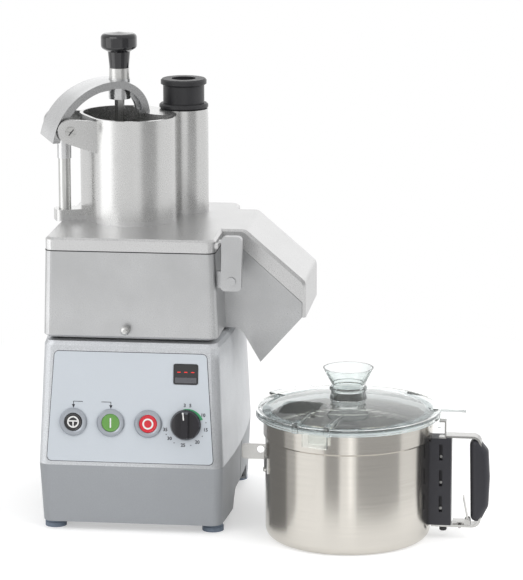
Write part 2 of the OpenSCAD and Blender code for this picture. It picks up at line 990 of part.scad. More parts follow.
module lower_bearing() {
    color([0.80, 0.81, 0.83]) machine() bearing(motor_low_z - collar_h);
}

module cooling_fan() {
    color([0.16, 0.17, 0.19]) machine() up(fan_z) difference() {
        union() {
            cylinder(r = fan_r, h = fan_disc_t);
            cylinder(r = fan_hub_r, h = fan_blade_h);
            for (i = [0:fan_blades - 1]) rotate([0, 0, 360 * i / fan_blades])
                translate([fan_hub_r - over, -fan_blade_t / 2, 0])
                cube([fan_r - fan_hub_r, fan_blade_t, fan_blade_h]);
        }
        up(-over) cylinder(r = shaft_r, h = fan_blade_h + over * 2);
    }
}

module shaft_seal() {
    color([0.20, 0.20, 0.21]) machine() up(casting_top_z + seal_rim_h - seal_h) difference() {
        cylinder(r = seal_r, h = seal_h);
        up(-over) cylinder(r = shaft_r + run_gap, h = seal_h + over * 2);
    }
}

module control_board() {
    color([0.16, 0.38, 0.26]) machine() translate([-board_x, -board_w / 2, foot_h + lip_t + floor_t]) {
        cube([board_t, board_w, board_h]);
        cube([board_foot, board_w, board_t]);
        translate([-sink_t, 0, board_h / 2]) for (i = [0:sink_fins - 1])
            translate([0, board_w * i / sink_fins, 0])
            cube([sink_t, board_w / sink_fins * sink_fin_share, board_h / 2]);
        for (i = [1:3]) translate([-part_h, board_w * i / 4, board_h / 4]) rotate([0, 90, 0])
            cylinder(r = part_r, h = part_h);
    }
}

module cable_gland() {
    color([0.14, 0.14, 0.15]) machine() gland_frame() difference() {
        union() {
            up(-skirt_wall - gland_flange_t) cylinder(r = gland_r, h = skirt_wall + gland_flange_t);
            cylinder(r = gland_flange_r, h = gland_flange_t, $fn = 6);
            cylinder(r1 = gland_flange_r - skirt_wall / 2, r2 = gland_r, h = gland_flange_t + gland_nose_h);
        }
        up(-skirt_wall) cylinder(r = gland_hole_r, h = gland_nose_h * 2);
    }
}

// Vegetable attachment
module bowl_plan(w, inset) {
    round_box_plan(w - inset * 2, bowl_front - inset, bowl_back - inset, bowl_corner_r);
}

module bowl_block(low_z, high_z, inset) {
    hull() {
        slice(low_z) bowl_plan(bowl_low_w, inset + bowl_edge);
        slice(low_z + bowl_edge) bowl_plan(bowl_low_w, inset);
        slice(high_z - slice_t) bowl_plan(bowl_top_w, inset);
    }
}

// Profile of the chute's outer walls, reach against height
module chute_outer() {
    polygon(rounded([
        [chute_root_x, parting_z], [chute_turn_x, parting_z], [chute_reach, chute_end_z],
        [chute_reach, mouth_top_z], [lip_x, lip_z], [chute_knee_x, bowl_low_z], [chute_root_x, bowl_low_z]
    ], [0, 0, 0, 0, 0, chute_fillet, 0]));
}

module chute_inner() {
    fall = [lip_x - chute_knee_x, lip_z - bowl_low_z] / norm([lip_x - chute_knee_x, lip_z - bowl_low_z]);
    lip = [lip_x, lip_z] + chute_wall * [-fall[1], fall[0]];
    polygon([
        [chute_root_x - over, chamber_floor_z],
        lip + fall * (chamber_floor_z - lip[1]) / fall[1],
        lip + fall * chute_far,
        [chute_reach + chute_far, lip_z],
        [chute_reach + chute_far, parting_z + chute_far],
        [chute_root_x - over, parting_z + chute_far]
    ]);
}

module along_x(x, len) {
    translate([x, 0, 0]) rotate([90, 0, 90]) linear_extrude(height = len) children();
}

module hinge_profile(low_z, high_z, low_turn, high_turn) {
    wall_y = bowl_back - over;
    translate([hinge_y, hinge_z]) circle(r = knuckle_r);
    polygon([
        [wall_y, low_z], [hinge_y, hinge_z] + knuckle_r * [cos(low_turn), sin(low_turn)],
        [hinge_y, hinge_z] + knuckle_r * [cos(high_turn), sin(high_turn)], [wall_y, high_z]
    ]);
}

module hinge_bore() {
    translate([-bowl_top_w / 2, hinge_y, hinge_z]) rotate([0, 90, 0])
        cylinder(r = hinge_pin_r + run_gap, h = bowl_top_w);
}

module attachment() {
    depth = chute_front + chute_back;
    color([0.76, 0.77, 0.77]) machine() difference() {
        union() {
            difference() {
                bowl_block(bowl_low_z, parting_z, 0);
                difference() {
                    up(bowl_low_z - over) linear_extrude(height = parting_z - deck_t - bowl_low_z + over)
                        bowl_plan(bowl_top_w, bowl_wall);
                    cylinder(r = chamber_r + bowl_wall, h = parting_z);
                }
            }
            deep(-chute_front, depth) chute_outer();
            for (side = [-1, 1], end = [-1, 1])
                along_x(side * knuckle_x + end * ((knuckle_len + bracket_w) / 2 + move_gap) - bracket_w / 2,
                    bracket_w) hinge_profile(parting_z - bracket_drop, parting_z - bracket_start, -25, 180);
        }
        up(bowl_low_z - over) cylinder(r = chamber_r, h = support_z - bowl_low_z + over);
        difference() {
            union() {
                up(chamber_floor_z) cylinder(r = chamber_r, h = parting_z);
                deep(chute_wall - chute_front, depth - chute_wall * 2) chute_inner();
            }
            cylinder(r = hub_r, h = chamber_floor_z + hub_h);
        }
        cylinder(r = hub_bore_r, h = parting_z);
        hinge_bore();
    }
}

module ball_stud() {
    color([0.80, 0.78, 0.70]) machine() translate([ball_x, -bowl_front, ball_z]) rotate([90, 0, 0]) {
        cylinder(r = ball_neck_r, h = ball_stand);
        up(ball_stand) sphere(r = ball_r);
    }
}

module hinge_pin() {
    reach = knuckle_x + knuckle_len / 2 + bracket_w + move_gap * 2;
    color([0.78, 0.79, 0.81]) machine() translate([-reach, hinge_y, hinge_z]) rotate([0, 90, 0]) {
        cylinder(r = hinge_pin_r, h = reach * 2);
        up(-pin_cap_t) cylinder(r = pin_cap_r, h = pin_cap_t);
        up(reach * 2) cylinder(r = pin_cap_r, h = pin_cap_t);
    }
}

module latch_bracket() {
    front = latch_y - latch_t / 2 - pin_cap_t;
    back = latch_y + latch_t / 2 + move_gap;
    color([0.66, 0.67, 0.68]) machine() {
        difference() {
            deep(back, latch_arm_t) {
                translate([latch_x, latch_pin_z]) circle(r = latch_arm_h / 2);
                translate([bowl_top_w / 2, latch_pin_z - latch_arm_h / 2])
                    square([latch_x - bowl_top_w / 2, latch_arm_h]);
            }
            bowl_block(bowl_low_z, parting_z, 0);
        }
        deep(front, back + over - front) translate([latch_x, latch_pin_z]) circle(r = latch_pin_r);
        deep(front, pin_cap_t - move_gap) translate([latch_x, latch_pin_z]) circle(r = pin_cap_r);
    }
}

module latch_profile() {
    left = latch_x - latch_w / 2;
    high = latch_low_z + latch_len;
    polygon(rounded([
        [left - latch_wave, latch_low_z], [left + latch_w, latch_low_z], [left + latch_w + latch_wave, high],
        [left, high], [left, latch_low_z + latch_len / 2]
    ], latch_corner_r));
    translate([left - nose_reach, lid_top_z - nose_drop])
        square([nose_reach + latch_corner_r, high - latch_corner_r - lid_top_z + nose_drop]);
}

module latch_lever() {
    color([0.72, 0.73, 0.74]) machine() difference() {
        deep(latch_y - latch_t / 2, latch_t) latch_profile();
        deep(latch_y - latch_t, latch_t * 2) translate([latch_x, latch_pin_z])
            circle(r = latch_pin_r + run_gap);
    }
}

module ejector_disc() {
    plate_z = ejector_z + ejector_gap;
    color([0.90, 0.90, 0.88]) machine() difference() {
        union() {
            up(plate_z) cylinder(r = disc_r, h = ejector_t);
            up(ejector_z) cylinder(r = ejector_hub_r, h = ejector_hub_h);
            for (turn = [0, 180]) rotate([0, 0, turn]) up(plate_z)
                linear_extrude(height = ejector_t + paddle_h) intersection() {
                    circle(r = disc_r);
                    translate([0, disc_r / 2]) difference() {
                        circle(r = disc_r / 2 + paddle_t / 2);
                        circle(r = disc_r / 2 - paddle_t / 2);
                    }
                    translate([0, -disc_r]) square(disc_r * 2);
                }
        }
        up(ejector_z - over) cylinder(r = shaft_r + seat_gap, h = ejector_hub_h + over * 2);
    }
}

module slicing_disc() {
    low = ejector_z + ejector_hub_h;
    color([0.78, 0.79, 0.80]) machine() difference() {
        union() {
            up(low) cylinder(r = ejector_hub_r - ejector_gap, h = disc_z - low);
            up(disc_z) cylinder(r = disc_r, h = disc_t);
            up(disc_z + disc_t) cylinder(r1 = disc_cap_r, r2 = disc_cap_r - disc_cap_h, h = disc_cap_h);
        }
        up(low - over) cylinder(r = shaft_r + seat_gap, h = shaft_top_z + over * 2 - low);
        translate([disc_slot_in, 0, disc_z - over])
            cube([disc_r - disc_slot_in - disc_slot_w / 2, disc_slot_w, disc_t + over * 2]);
    }
}

module slicing_blade() {
    color([0.85, 0.86, 0.87]) machine() translate([disc_slot_in, -blade_w, disc_z + disc_t])
        cube([disc_r - disc_slot_in - disc_slot_w / 2, blade_w + blade_over, blade_edge_t]);
}

// Feed head
module hopper_plan(r) {
    translate([hopper_front_x, hopper_front_y]) circle(r = r, $fn = bow_fn / 2);
    translate([hopper_back_x, hopper_back_y]) circle(r = r, $fn = bow_fn / 2);
    translate([hopper_front_x, hopper_front_y]) rotate(hopper_dir) translate([0, -r])
        square([hopper_span, r * 2]);
}

module kidney_plan(r, hollow_r) {
    difference() {
        hopper_plan(r);
        translate([tube_x, tube_y]) circle(r = hollow_r, $fn = bow_fn / 2);
    }
}

module cap_plan(inset) {
    round_box_plan(bowl_top_w - inset * 2, bowl_front - inset, bowl_back - inset, cap_corner_r);
}

module hood_outline() {
    low = mouth_top_z - hood_corner_r * 2;
    polygon(rounded([
        [0, low], [hood_out_x, low], [hood_out_x, hood_end_z], [hood_turn_x, lid_top_z], [0, lid_top_z]
    ], [0, 0, hood_corner_r, hood_corner_r, 0]));
}

module below_parting() {
    polygon([
        [0, head_low_z], [chute_turn_x, head_low_z], [chute_reach + hood_gap, chute_end_z + move_gap],
        [chute_reach + hood_gap, mouth_top_z], [hood_out_x + over, mouth_top_z],
        [hood_out_x + over, lip_z], [0, lip_z]
    ]);
}

module hood() {
    depth = chute_front + chute_back;
    left = bowl_top_w / 2 - head_wall;
    difference() {
        intersection() {
            hull() {
                deep(hood_edge - chute_front, depth - hood_edge * 2) hood_outline();
                translate([-hood_edge, 0, -hood_edge]) deep(-chute_front, depth) hood_outline();
            }
            translate([left, -chute_front, lip_z]) cube([hood_out_x, depth, lid_top_z]);
        }
        intersection() {
            translate([-head_wall, 0, -head_wall]) deep(head_wall - chute_front, depth - head_wall * 2)
                hood_outline();
            translate([left + head_wall, -chute_front, lip_z]) cube([hood_out_x, depth, lid_top_z]);
        }
        deep(-chute_front - over, depth + over * 2) below_parting();
    }
}

module lid_cap() {
    difference() {
        hull() {
            slice(head_low_z) cap_plan(0);
            slice(lid_top_z - cap_edge) cap_plan(0);
            slice(lid_top_z - slice_t) cap_plan(cap_edge);
        }
        up(head_low_z - over) linear_extrude(height = lid_top_z - cap_plate_t - head_low_z + over)
            cap_plan(head_wall);
    }
}

module ear_profile() {
    translate([pin_u, pin_z]) circle(r = ear_r);
    polygon([
        [pin_u, pin_z], [pin_u + ear_r * cos(ear_turn), pin_z + ear_r * sin(ear_turn)],
        [ear_reach, ear_low_z],
        [ear_reach, rim_z - ear_drop], [pin_u, pin_z + ear_r]
    ]);
}

module block_plan() {
    polygon(rounded(box(-block_end, -block_half, block_reach, block_half), [block_round, 0, 0, block_round]));
}

// Step of the hopper's skin, whose edge shows as an upright line
module hopper_skin() {
    turns = [skin_from, (skin_from + skin_to) / 2, skin_to];
    translate([hopper_front_x, hopper_front_y, lid_top_z - over])
        linear_extrude(height = rim_z - lid_top_z + over)
        intersection() {
            circle(r = hopper_r, $fn = bow_fn / 2);
            polygon(concat([[0, 0]], [for (turn = turns) hopper_r * 3 * [cos(turn), sin(turn)]]));
        }
}

module head_body() {
    lid_cap();
    hood();
    up(ring_low_z) linear_extrude(height = rim_z - ring_low_z) hopper_plan(hopper_out_r);
    hopper_skin();
    translate([rod_x, rod_y, 0]) rotate([0, 0, arm_turn]) {
        up(lid_top_z - over) linear_extrude(height = block_h + over) block_plan();
        deep(-arm_root_half - ear_gap - ear_t, ear_t) ear_profile();
        deep(arm_root_half + ear_gap, ear_t) ear_profile();
    }
    for (side = [-1, 1]) along_x(side * knuckle_x - knuckle_len / 2, knuckle_len)
        hinge_profile(head_low_z + move_gap, lid_top_z - bracket_start, -135, 75);
    translate([bowl_top_w / 2 - over, latch_y - lug_t / 2, lid_top_z - lug_drop])
        cube([lug_reach + over, lug_t, lug_h]);
}

module feed_head() {
    depth = rim_z - ring_low_z;
    pin_half = arm_root_half + ear_gap + ear_t + over;
    color([0.79, 0.80, 0.80]) machine() difference() {
        union() {
            difference() {
                head_body();
                up(ring_low_z - over) linear_extrude(height = depth + over * 2)
                    kidney_plan(hopper_in_r, kidney_r);
                up(ring_low_z - over) linear_extrude(height = depth - head_wall + over)
                    intersection() {
                        hopper_plan(hopper_in_r);
                        translate([tube_x, tube_y]) circle(r = kidney_r - head_wall, $fn = bow_fn / 2);
                    }
            }
            translate([tube_x, tube_y, ring_low_z]) cylinder(r = tube_r, h = depth);
        }
        translate([tube_x, tube_y, ring_low_z - over]) cylinder(r = tube_bore_r, h = depth + over * 2);
        translate([rod_x, rod_y, 0]) rotate([0, 0, arm_turn]) {
            up(lid_top_z) cylinder(r = rod_r + run_gap, h = block_h + over);
            deep(-pin_half, pin_half * 2) translate([pin_u, pin_z]) circle(r = pin_r + run_gap);
        }
        hinge_bore();
    }
}

// Pusher arm and its pin, rod and bush
module arch_ring(r, t) {
    translate([arch_crown, arch_top_z - r]) difference() {
        circle(r = r, $fn = bow_fn / 2);
        circle(r = r - t, $fn = bow_fn / 2);
    }
}

module arch_band(t) {
    intersection() {
        arch_ring(arch_long_r, t);
        translate([arm_left, arm_foot_z]) square([arch_crown - arm_left, arch_top_z]);
    }
    intersection() {
        arch_ring(arch_short_r, t);
        translate([arch_crown, arm_end_z]) square([arch_short_r, arch_top_z]);
    }
}

module arm_plan(inset) {
    offset(delta = -inset) polygon([
        [arm_left, -arm_root_half], [arm_end_u, -arm_end_half],
        [arm_end_u, arm_end_half], [arm_left, arm_root_half]
    ]);
}

module arm_slab(t) {
    deep(-arm_root_half, arm_root_half * 2) arch_band(t);
}

module pusher_arm() {
    color([0.80, 0.81, 0.82]) arm_frame() difference() {
        union() {
            intersection() {
                arm_slab(arm_skin);
                up(arm_foot_z) linear_extrude(height = arch_top_z) arm_plan(0);
            }
            intersection() {
                arm_slab(arch_flange);
                up(arm_foot_z) linear_extrude(height = arch_top_z) difference() {
                    arm_plan(0);
                    arm_plan(arch_flange_w);
                }
            }
            deep(-arch_rib_w / 2, arch_rib_w) arch_band(arch_rib);
            intersection() {
                deep(-arm_root_half, arm_root_half * 2) translate([pin_u, pin_z]) circle(r = arm_barrel_r);
                up(arm_foot_z - arm_barrel_r) linear_extrude(height = arch_top_z) arm_plan(0);
            }
            translate([push_reach, 0, arm_boss_z])
                cylinder(r = arm_boss_r, h = arch_top_z + move_gap * 2 - arm_boss_z);
            up(rod_sleeve_z) cylinder(r = rod_sleeve_r, h = pin_z - rod_sleeve_z);
            translate([arm_end_u - arch_rib, -arm_end_half, arm_end_z])
                cube([arch_rib, arm_end_half * 2, arm_skin]);
        }
        deep(-arm_root_half - over, arm_root_half * 2 + over * 2) translate([pin_u, pin_z])
            circle(r = pin_r + run_gap);
        translate([push_reach, 0, arm_boss_z - over])
            cylinder(r = bush_r - bush_collar, h = arch_top_z - arm_boss_z + over * 2);
        up(rod_sleeve_z - over) cylinder(r = rod_r + run_gap, h = rod_sleeve_top - rod_sleeve_z + over);
    }
}

module arm_pin() {
    half = arm_root_half + ear_gap + ear_t;
    color([0.82, 0.80, 0.74]) arm_frame() difference() {
        union() {
            deep(-half, half * 2) translate([pin_u, pin_z]) circle(r = pin_r);
            deep(-half - pin_head_h, pin_head_h) translate([pin_u, pin_z]) circle(r = pin_head_r);
            deep(half, pin_head_h) translate([pin_u, pin_z]) circle(r = pin_head_r);
        }
        translate([pin_u, -half - pin_head_h, pin_z]) rotate([0, arm_turn, 0])
            cube([pin_head_r * 2, pin_head_h, pin_slot_w], center = true);
    }
}

module guide_rod() {
    color([0.88, 0.88, 0.88]) arm_frame() up(lid_top_z) cylinder(r = rod_r, h = rod_top_z - lid_top_z);
}

module guide_bush() {
    seat_z = arch_top_z + move_gap * 2;
    color([0.84, 0.85, 0.86]) arm_frame() translate([push_reach, 0, 0]) difference() {
        union() {
            up(arm_boss_z) cylinder(r = bush_r - bush_collar - run_gap, h = bush_top_z - arm_boss_z);
            up(seat_z) cylinder(r = bush_r, h = bush_top_z - seat_z);
        }
        up(arm_boss_z - over) cylinder(r = hex_r + hex_gap, h = bush_top_z - arm_boss_z + over * 2, $fn = 6);
    }
}

// Pushers
module pusher_rod() {
    low = plate_low_z + push_plate_t;
    color([0.62, 0.57, 0.52]) arm_frame() translate([push_reach, 0, 0]) {
        up(low) cylinder(r = hex_r, h = knob_top_z - cap_h / 2 - low, $fn = 6);
        up(low - rod_screw) cylinder(r = pin_r, h = rod_screw);
    }
}

module pusher_plate() {
    color([0.88, 0.88, 0.87]) difference() {
        machine() up(plate_low_z) linear_extrude(height = push_plate_t)
            kidney_plan(hopper_in_r - push_gap, kidney_r + push_gap);
        arm_frame() translate([push_reach, 0, plate_low_z + push_plate_t - rod_screw])
            cylinder(r = pin_r + run_gap, h = rod_screw + over);
    }
}

module pusher_knob() {
    low = bush_top_z + move_gap;
    cap_low = knob_top_z - cap_h;
    color([0.13, 0.13, 0.15]) arm_frame() translate([push_reach, 0, 0]) difference() {
        rotate_extrude() polygon(concat(
            [[0, low], [neck_low_r, low], [neck_top_r, cap_low - cap_round]],
            arc_points(knob_r - cap_round, cap_low + cap_round / 2, cap_round, -60, 0, 4),
            arc_points(knob_r - cap_round, knob_top_z - cap_round - bush_collar, cap_round, 0, 80, 5),
            [[0, knob_top_z]]
        ));
        up(low - over)
            cylinder(r = hex_r + run_gap, h = knob_top_z - cap_h / 2 - low + over, $fn = 6);
    }
}

module small_pusher() {
    top = rim_z + small_head_h;
    collar = rim_z + move_gap;
    color([0.15, 0.15, 0.17]) machine() translate([tube_x, tube_y, 0]) rotate_extrude() polygon([
        [0, small_low_z], [small_r - small_round, small_low_z], [small_r, small_low_z + small_round],
        [small_r, collar], [small_collar_r - small_round, collar], [small_collar_r, collar + small_round],
        [small_collar_r, collar + small_collar_h - small_round],
        [small_collar_r - small_round, collar + small_collar_h],
        [small_r, collar + small_collar_h], [small_r, top - small_lip_h],
        [small_lip_r, top - small_lip_h + small_round], [small_lip_r, top - small_round],
        [small_lip_r - small_round, top], [small_bore_r, top], [small_bore_r, small_low_z + small_floor_t],
        [0, small_low_z + small_floor_t]
    ]);
}

// Cutter bowl with its stem, hub and blades
module cutter_bowl() {
    band_r = cut_r + cut_band_out;
    corner_in = cut_corner_r - cut_wall;
    color([0.77, 0.77, 0.76]) cutter() rotate_extrude() polygon(concat(
        [[stem_r - stem_wall, 0]],
        arc_points(cut_r - cut_corner_r, cut_corner_r, cut_corner_r, -90, 0, 8),
        [
            [cut_r, cut_band_z], [band_r, cut_band_z + cut_band_out], [band_r, cut_rim_z],
            [band_r - cut_wall, cut_rim_z], [band_r - cut_wall, cut_band_z + cut_band_out * 2],
            [cut_r - cut_wall, cut_band_z + cut_band_out]
        ],
        arc_points(cut_r - cut_corner_r, cut_corner_r, corner_in, 0, -90, 8),
        [[stem_r - stem_wall, cut_wall]]
    ));
}

module bowl_stem() {
    bore = stem_r - stem_wall;
    color([0.80, 0.81, 0.82]) cutter() rotate_extrude() polygon([
        [bore, cut_wall], [stem_r + stem_flange, cut_wall],
        [stem_r + stem_flange, cut_wall + stem_flange / 2],
        [stem_r, cut_wall + stem_flange], [stem_r, stem_h], [hub_bore_r, stem_h],
        [hub_bore_r, stem_h - stem_wall], [bore, stem_h - stem_wall]
    ]);
}

module cutter_hub() {
    inner = stem_r + move_gap;
    outer = inner + cutter_hub_wall;
    roof = stem_h + move_gap;
    color([0.16, 0.16, 0.18]) cutter() rotate_extrude() polygon([
        [inner, cutter_hub_low], [outer, cutter_hub_low], [outer, roof + cutter_hub_wall / 2],
        [cutter_cap_r + cutter_ring_t, roof + cutter_hub_wall], [cutter_cap_r, roof + cutter_cap_h],
        [0, roof + cutter_cap_h], [0, roof], [inner, roof]
    ]);
}

module blade_plan() {
    intersection() {
        circle(r = blade_reach);
        square([blade_reach, blade_reach * 2], center = true);
        difference() {
            translate([blade_arc_x, blade_width / 2 - blade_arc_r]) circle(r = blade_arc_r);
            translate([blade_arc_x, -blade_width / 2 - blade_arc_r]) circle(r = blade_arc_r);
        }
    }
}

module cutter_blades() {
    hub_out = stem_r + move_gap + cutter_hub_wall;
    color([0.84, 0.85, 0.86]) cutter() for (i = [0, 1])
        rotate([0, 0, 180 * i]) up(blade_low + blade_rise * i) difference() {
            union() {
                linear_extrude(height = blade_t) intersection() {
                    blade_plan();
                    translate([0, -blade_reach]) square(blade_reach * 2);
                }
                cylinder(r = hub_out + cutter_ring_t, h = cutter_ring_h);
            }
            up(-over) cylinder(r = hub_out, h = cutter_ring_h + over * 2);
        }
}

// Lid
function dome_points(r, from, to, steps) = [
    for (i = [0:steps]) let (x = from + (to - from) * i / steps) [x, dome_mid_z + sqrt(r * r - x * x)]
];

module lid_outside() {
    waist_z = dome_top_z + funnel_waist_h;
    rotate_extrude() polygon(concat(
        [[0, cut_rim_z], [lid_r, cut_rim_z], [lid_r, cut_rim_z + lid_ring_h],
        [lid_r - lid_t, cut_rim_z + lid_ring_h]],
        dome_points(dome_r, dome_in, funnel_low_r, 10),
        [
            [funnel_waist_r, waist_z - collar_half * 3],
            [funnel_waist_r + collar_out, waist_z - collar_half * 2],
            [funnel_waist_r + collar_out, waist_z - collar_half], [funnel_waist_r, waist_z],
            [funnel_waist_r, waist_z + collar_half * 2], [funnel_r, dome_top_z + funnel_h],
            [0, dome_top_z + funnel_h]
        ]
    ));
}

module lid_inside() {
    waist_z = dome_top_z + funnel_waist_h;
    rotate_extrude() polygon(concat(
        [[0, cut_rim_z - over], [skirt_in_r, cut_rim_z - over], [skirt_in_r, lid_low_z]],
        [[lid_seal_in_r, lid_low_z]],
        dome_points(dome_r - lid_t, lid_seal_in_r, funnel_waist_r - lid_t, 10),
        [
            [funnel_waist_r - lid_t, waist_z + collar_half * 2],
            [funnel_r - funnel_rim_t, dome_top_z + funnel_h],
            [funnel_r - funnel_rim_t, dome_top_z + funnel_h + over],
            [0, dome_top_z + funnel_h + over]
        ]
    ));
}

module lid_fin() {
    intersection() {
        deep(-fin_root, fin_root * 2) polygon([
            [lid_r - fin_len, cut_rim_z], [lid_r + over, cut_rim_z], [lid_r + over, fin_top_z],
            [lid_r - fin_len, dome_mid_z + sqrt(pow(dome_r, 2) - pow(lid_r - fin_len, 2)) + over / 2]
        ]);
        linear_extrude(height = dome_top_z) polygon([
            [lid_r + over, -fin_root / 2], [lid_r + over, fin_root / 2], [lid_r - fin_len, 0]
        ]);
    }
}

module bowl_lid() {
    color([0.83, 0.90, 0.90, 0.35]) cutter() difference() {
        union() {
            lid_outside();
            rotate([0, 0, fin_angle]) {
                for (side = [-1, 1]) translate([0, side * fin_half, 0]) lid_fin();
                translate([lid_r - tab_t, fin_half * 2 * tab_shares[0], cut_rim_z - tab_h])
                    cube([tab_t, fin_half * 2 * (tab_shares[1] - tab_shares[0]), tab_h + lid_ring_h / 2]);
            }
            up(cut_rim_z + lid_ring_h - ear_t_lid) linear_extrude(height = ear_t_lid) {
                polygon(ear_plan);
                intersection() {
                    circle(r = rear_ear_r);
                    polygon([
                        [0, 0], rear_ear_r * 2 * [cos(rear_ear_turns[0]), sin(rear_ear_turns[0])],
                        rear_ear_r * 2 * [cos(rear_ear_turns[1]), sin(rear_ear_turns[1])]
                    ]);
                }
            }
            translate([lug_reach_r - lug_t_lid, lug_y, lug_low_z])
                cube([lug_t_lid, lug_w, cut_rim_z + lid_ring_h / 2 - lug_low_z]);
        }
        lid_inside();
    }
}

module lid_seal() {
    inner = cut_r + cut_band_out - cut_wall;
    color([0.80, 0.82, 0.83]) cutter() rotate_extrude() polygon([
        [lid_seal_in_r, cut_rim_z - lid_seal_drop], [inner - seat_gap, cut_rim_z - lid_seal_drop],
        [inner - seat_gap, cut_rim_z], [cut_r + cut_band_out, cut_rim_z], [cut_r + cut_band_out, lid_low_z],
        [lid_seal_in_r, lid_low_z]
    ]);
}

// Handle of the cutter bowl
module handle_post() {
    mid = (post_in_x + post_out_x) / 2;
    color([0.24, 0.24, 0.26]) cutter() difference() {
        translate([mid, 0, post_low_z]) linear_extrude(height = post_top_z - post_low_z)
            square([post_out_x - post_in_x, post_d], center = true);
        cylinder(r = cut_r, h = post_top_z + over);
        up(cut_band_z - cut_band_out) cylinder(r = cut_r + cut_band_out, h = post_top_z);
        for (z = post_slots) translate([post_slot_x - post_slot_w / 2, -post_d / 2 - over, z]) {
            cube([post_slot_w, post_slot_d + over, post_slot_h]);
            translate([post_slot_w / 2, over + post_slot_d, post_slot_w]) rotate([-90, 0, 0])
                cylinder(r = post_shank_r, h = post_shank_len);
        }
        translate([plunger_x, 0, post_low_z - over])
            cylinder(r = plunger_r + move_gap, h = plunger_len + over - plunger_travel);
    }
}

module post_screws() {
    color([0.80, 0.80, 0.80]) cutter() for (z = post_slots)
        translate([post_slot_x, -post_d / 2 + post_slot_d, z + post_slot_w]) rotate([-90, 0, 0]) {
            up(-post_screw_r) cylinder(r = post_screw_r, h = post_screw_r);
            cylinder(r = post_shank_r, h = post_shank_len);
        }
}

module strap_frame(inset, r) {
    plan = box(0, strap_low_z + inset, strap_reach - inset, post_top_z + strap_t - inset);
    polygon(rounded(plan, [0, r, r, 0]));
}

module strap_profile() {
    difference() {
        strap_frame(0, strap_corner_r);
        strap_frame(strap_t, strap_corner_r - strap_t);
        translate([0, strap_low_z - over]) square([strap_root_x, post_top_z]);
        translate([0, post_top_z - over]) square([strap_top_x, strap_t + over * 2]);
    }
}

module handle_strap() {
    color([0.80, 0.80, 0.79]) cutter() difference() {
        union() {
            deep(-strap_w / 2, strap_w) strap_profile();
            for (side = [-1, 1])
                deep(side * (trigger_w / 2 + move_gap + trigger_ear_t / 2) - trigger_ear_t / 2, trigger_ear_t)
                hull() {
                    translate([trigger_x, trigger_z]) circle(r = trigger_ear_w / 2, $fn = hull_fn);
                    translate([trigger_x - trigger_ear_w / 2, strap_low_z + strap_t / 2])
                        square([trigger_ear_w, over]);
                }
        }
        cylinder(r = cut_r + cut_band_out, h = cut_rim_z);
        deep(-strap_w, strap_w * 2) translate([trigger_x, trigger_z]) circle(r = trigger_pin_r + run_gap);
        translate([trigger_lug_x, 0, 0]) cylinder(r = trigger_hole_r, h = post_low_z + over);
        translate([plunger_x, 0, 0]) cylinder(r = plunger_r + move_gap, h = post_low_z + over);
    }
}

module handle_grip() {
    color([0.22, 0.22, 0.24]) cutter() difference() {
        hull() for (place = grip_path, side = [-1, 1])
            translate([place[0], side * (grip_t / 2 + over - grip_round), place[1]])
                sphere(r = grip_round, $fn = hull_fn);
        deep(-strap_w / 2, strap_w) strap_profile();
    }
}

module release_trigger() {
    low = trigger_z - trigger_t / 2;
    color([0.82, 0.82, 0.81]) cutter() {
        deep(-trigger_w / 2, trigger_w) {
            translate([trigger_x - trigger_base, low]) square([trigger_base, trigger_t]);
            translate([trigger_x, trigger_z]) {
                circle(r = trigger_pin_r + over);
                rotate(trigger_lean) square([trigger_t, trigger_h]);
            }
        }
        deep(-trigger_w / 2 - move_gap - trigger_ear_t, trigger_w + (move_gap + trigger_ear_t) * 2)
            translate([trigger_x, trigger_z]) circle(r = trigger_pin_r);
        translate([trigger_lug_x, 0, trigger_lug_low])
            cylinder(r = trigger_pin_r, h = low + over / 2 - trigger_lug_low);
    }
}

module safety_plunger() {
    color([0.14, 0.14, 0.15]) cutter() translate([plunger_x, 0, plunger_low_z]) rotate_extrude() polygon([
        [0, 0], [plunger_r - over, 0], [plunger_r, over], [plunger_r, plunger_len - over * 2],
        [plunger_r - over, plunger_len - over], [0, plunger_len - over]
    ]);
}

module catch_bracket() {
    color([0.78, 0.79, 0.78]) cutter() translate([catch_x, catch_y, post_top_z]) {
        translate([-catch_lip, 0, 0]) cube([catch_lip + catch_t, catch_w, catch_t]);
        cube([catch_t, catch_w, catch_top_z - post_top_z]);
        translate([-catch_lip, 0, catch_top_z - post_top_z - catch_t])
            cube([catch_lip + over, catch_w, catch_t]);
    }
}

module hook_tab() {
    color([0.80, 0.80, 0.79]) cutter() difference() {
        union() {
            deep(-hook_t / 2, hook_t) difference() {
                polygon(rounded(box(-hook_reach, hook_z, -cut_r + over, hook_z + hook_h), hook_round));
                translate([-hook_hole_x, hook_z + hook_h * 0.64]) circle(r = hook_hole_r);
            }
            up(hook_z - hook_foot_drop) linear_extrude(height = hook_h) intersection() {
                circle(r = cut_r + hook_t);
                translate([-cut_r - hook_t, -hook_foot_front])
                    square([cut_r, hook_foot_front + hook_foot_back]);
            }
            rotate([0, 0, hook_stud_turn]) translate([cut_r, 0, hook_z - hook_stud_drop])
                rotate([0, 90, 0]) cylinder(r = hook_stud_r, h = hook_stud_len, $fn = 6);
        }
        cylinder(r = cut_r, h = cut_band_z);
    }
}

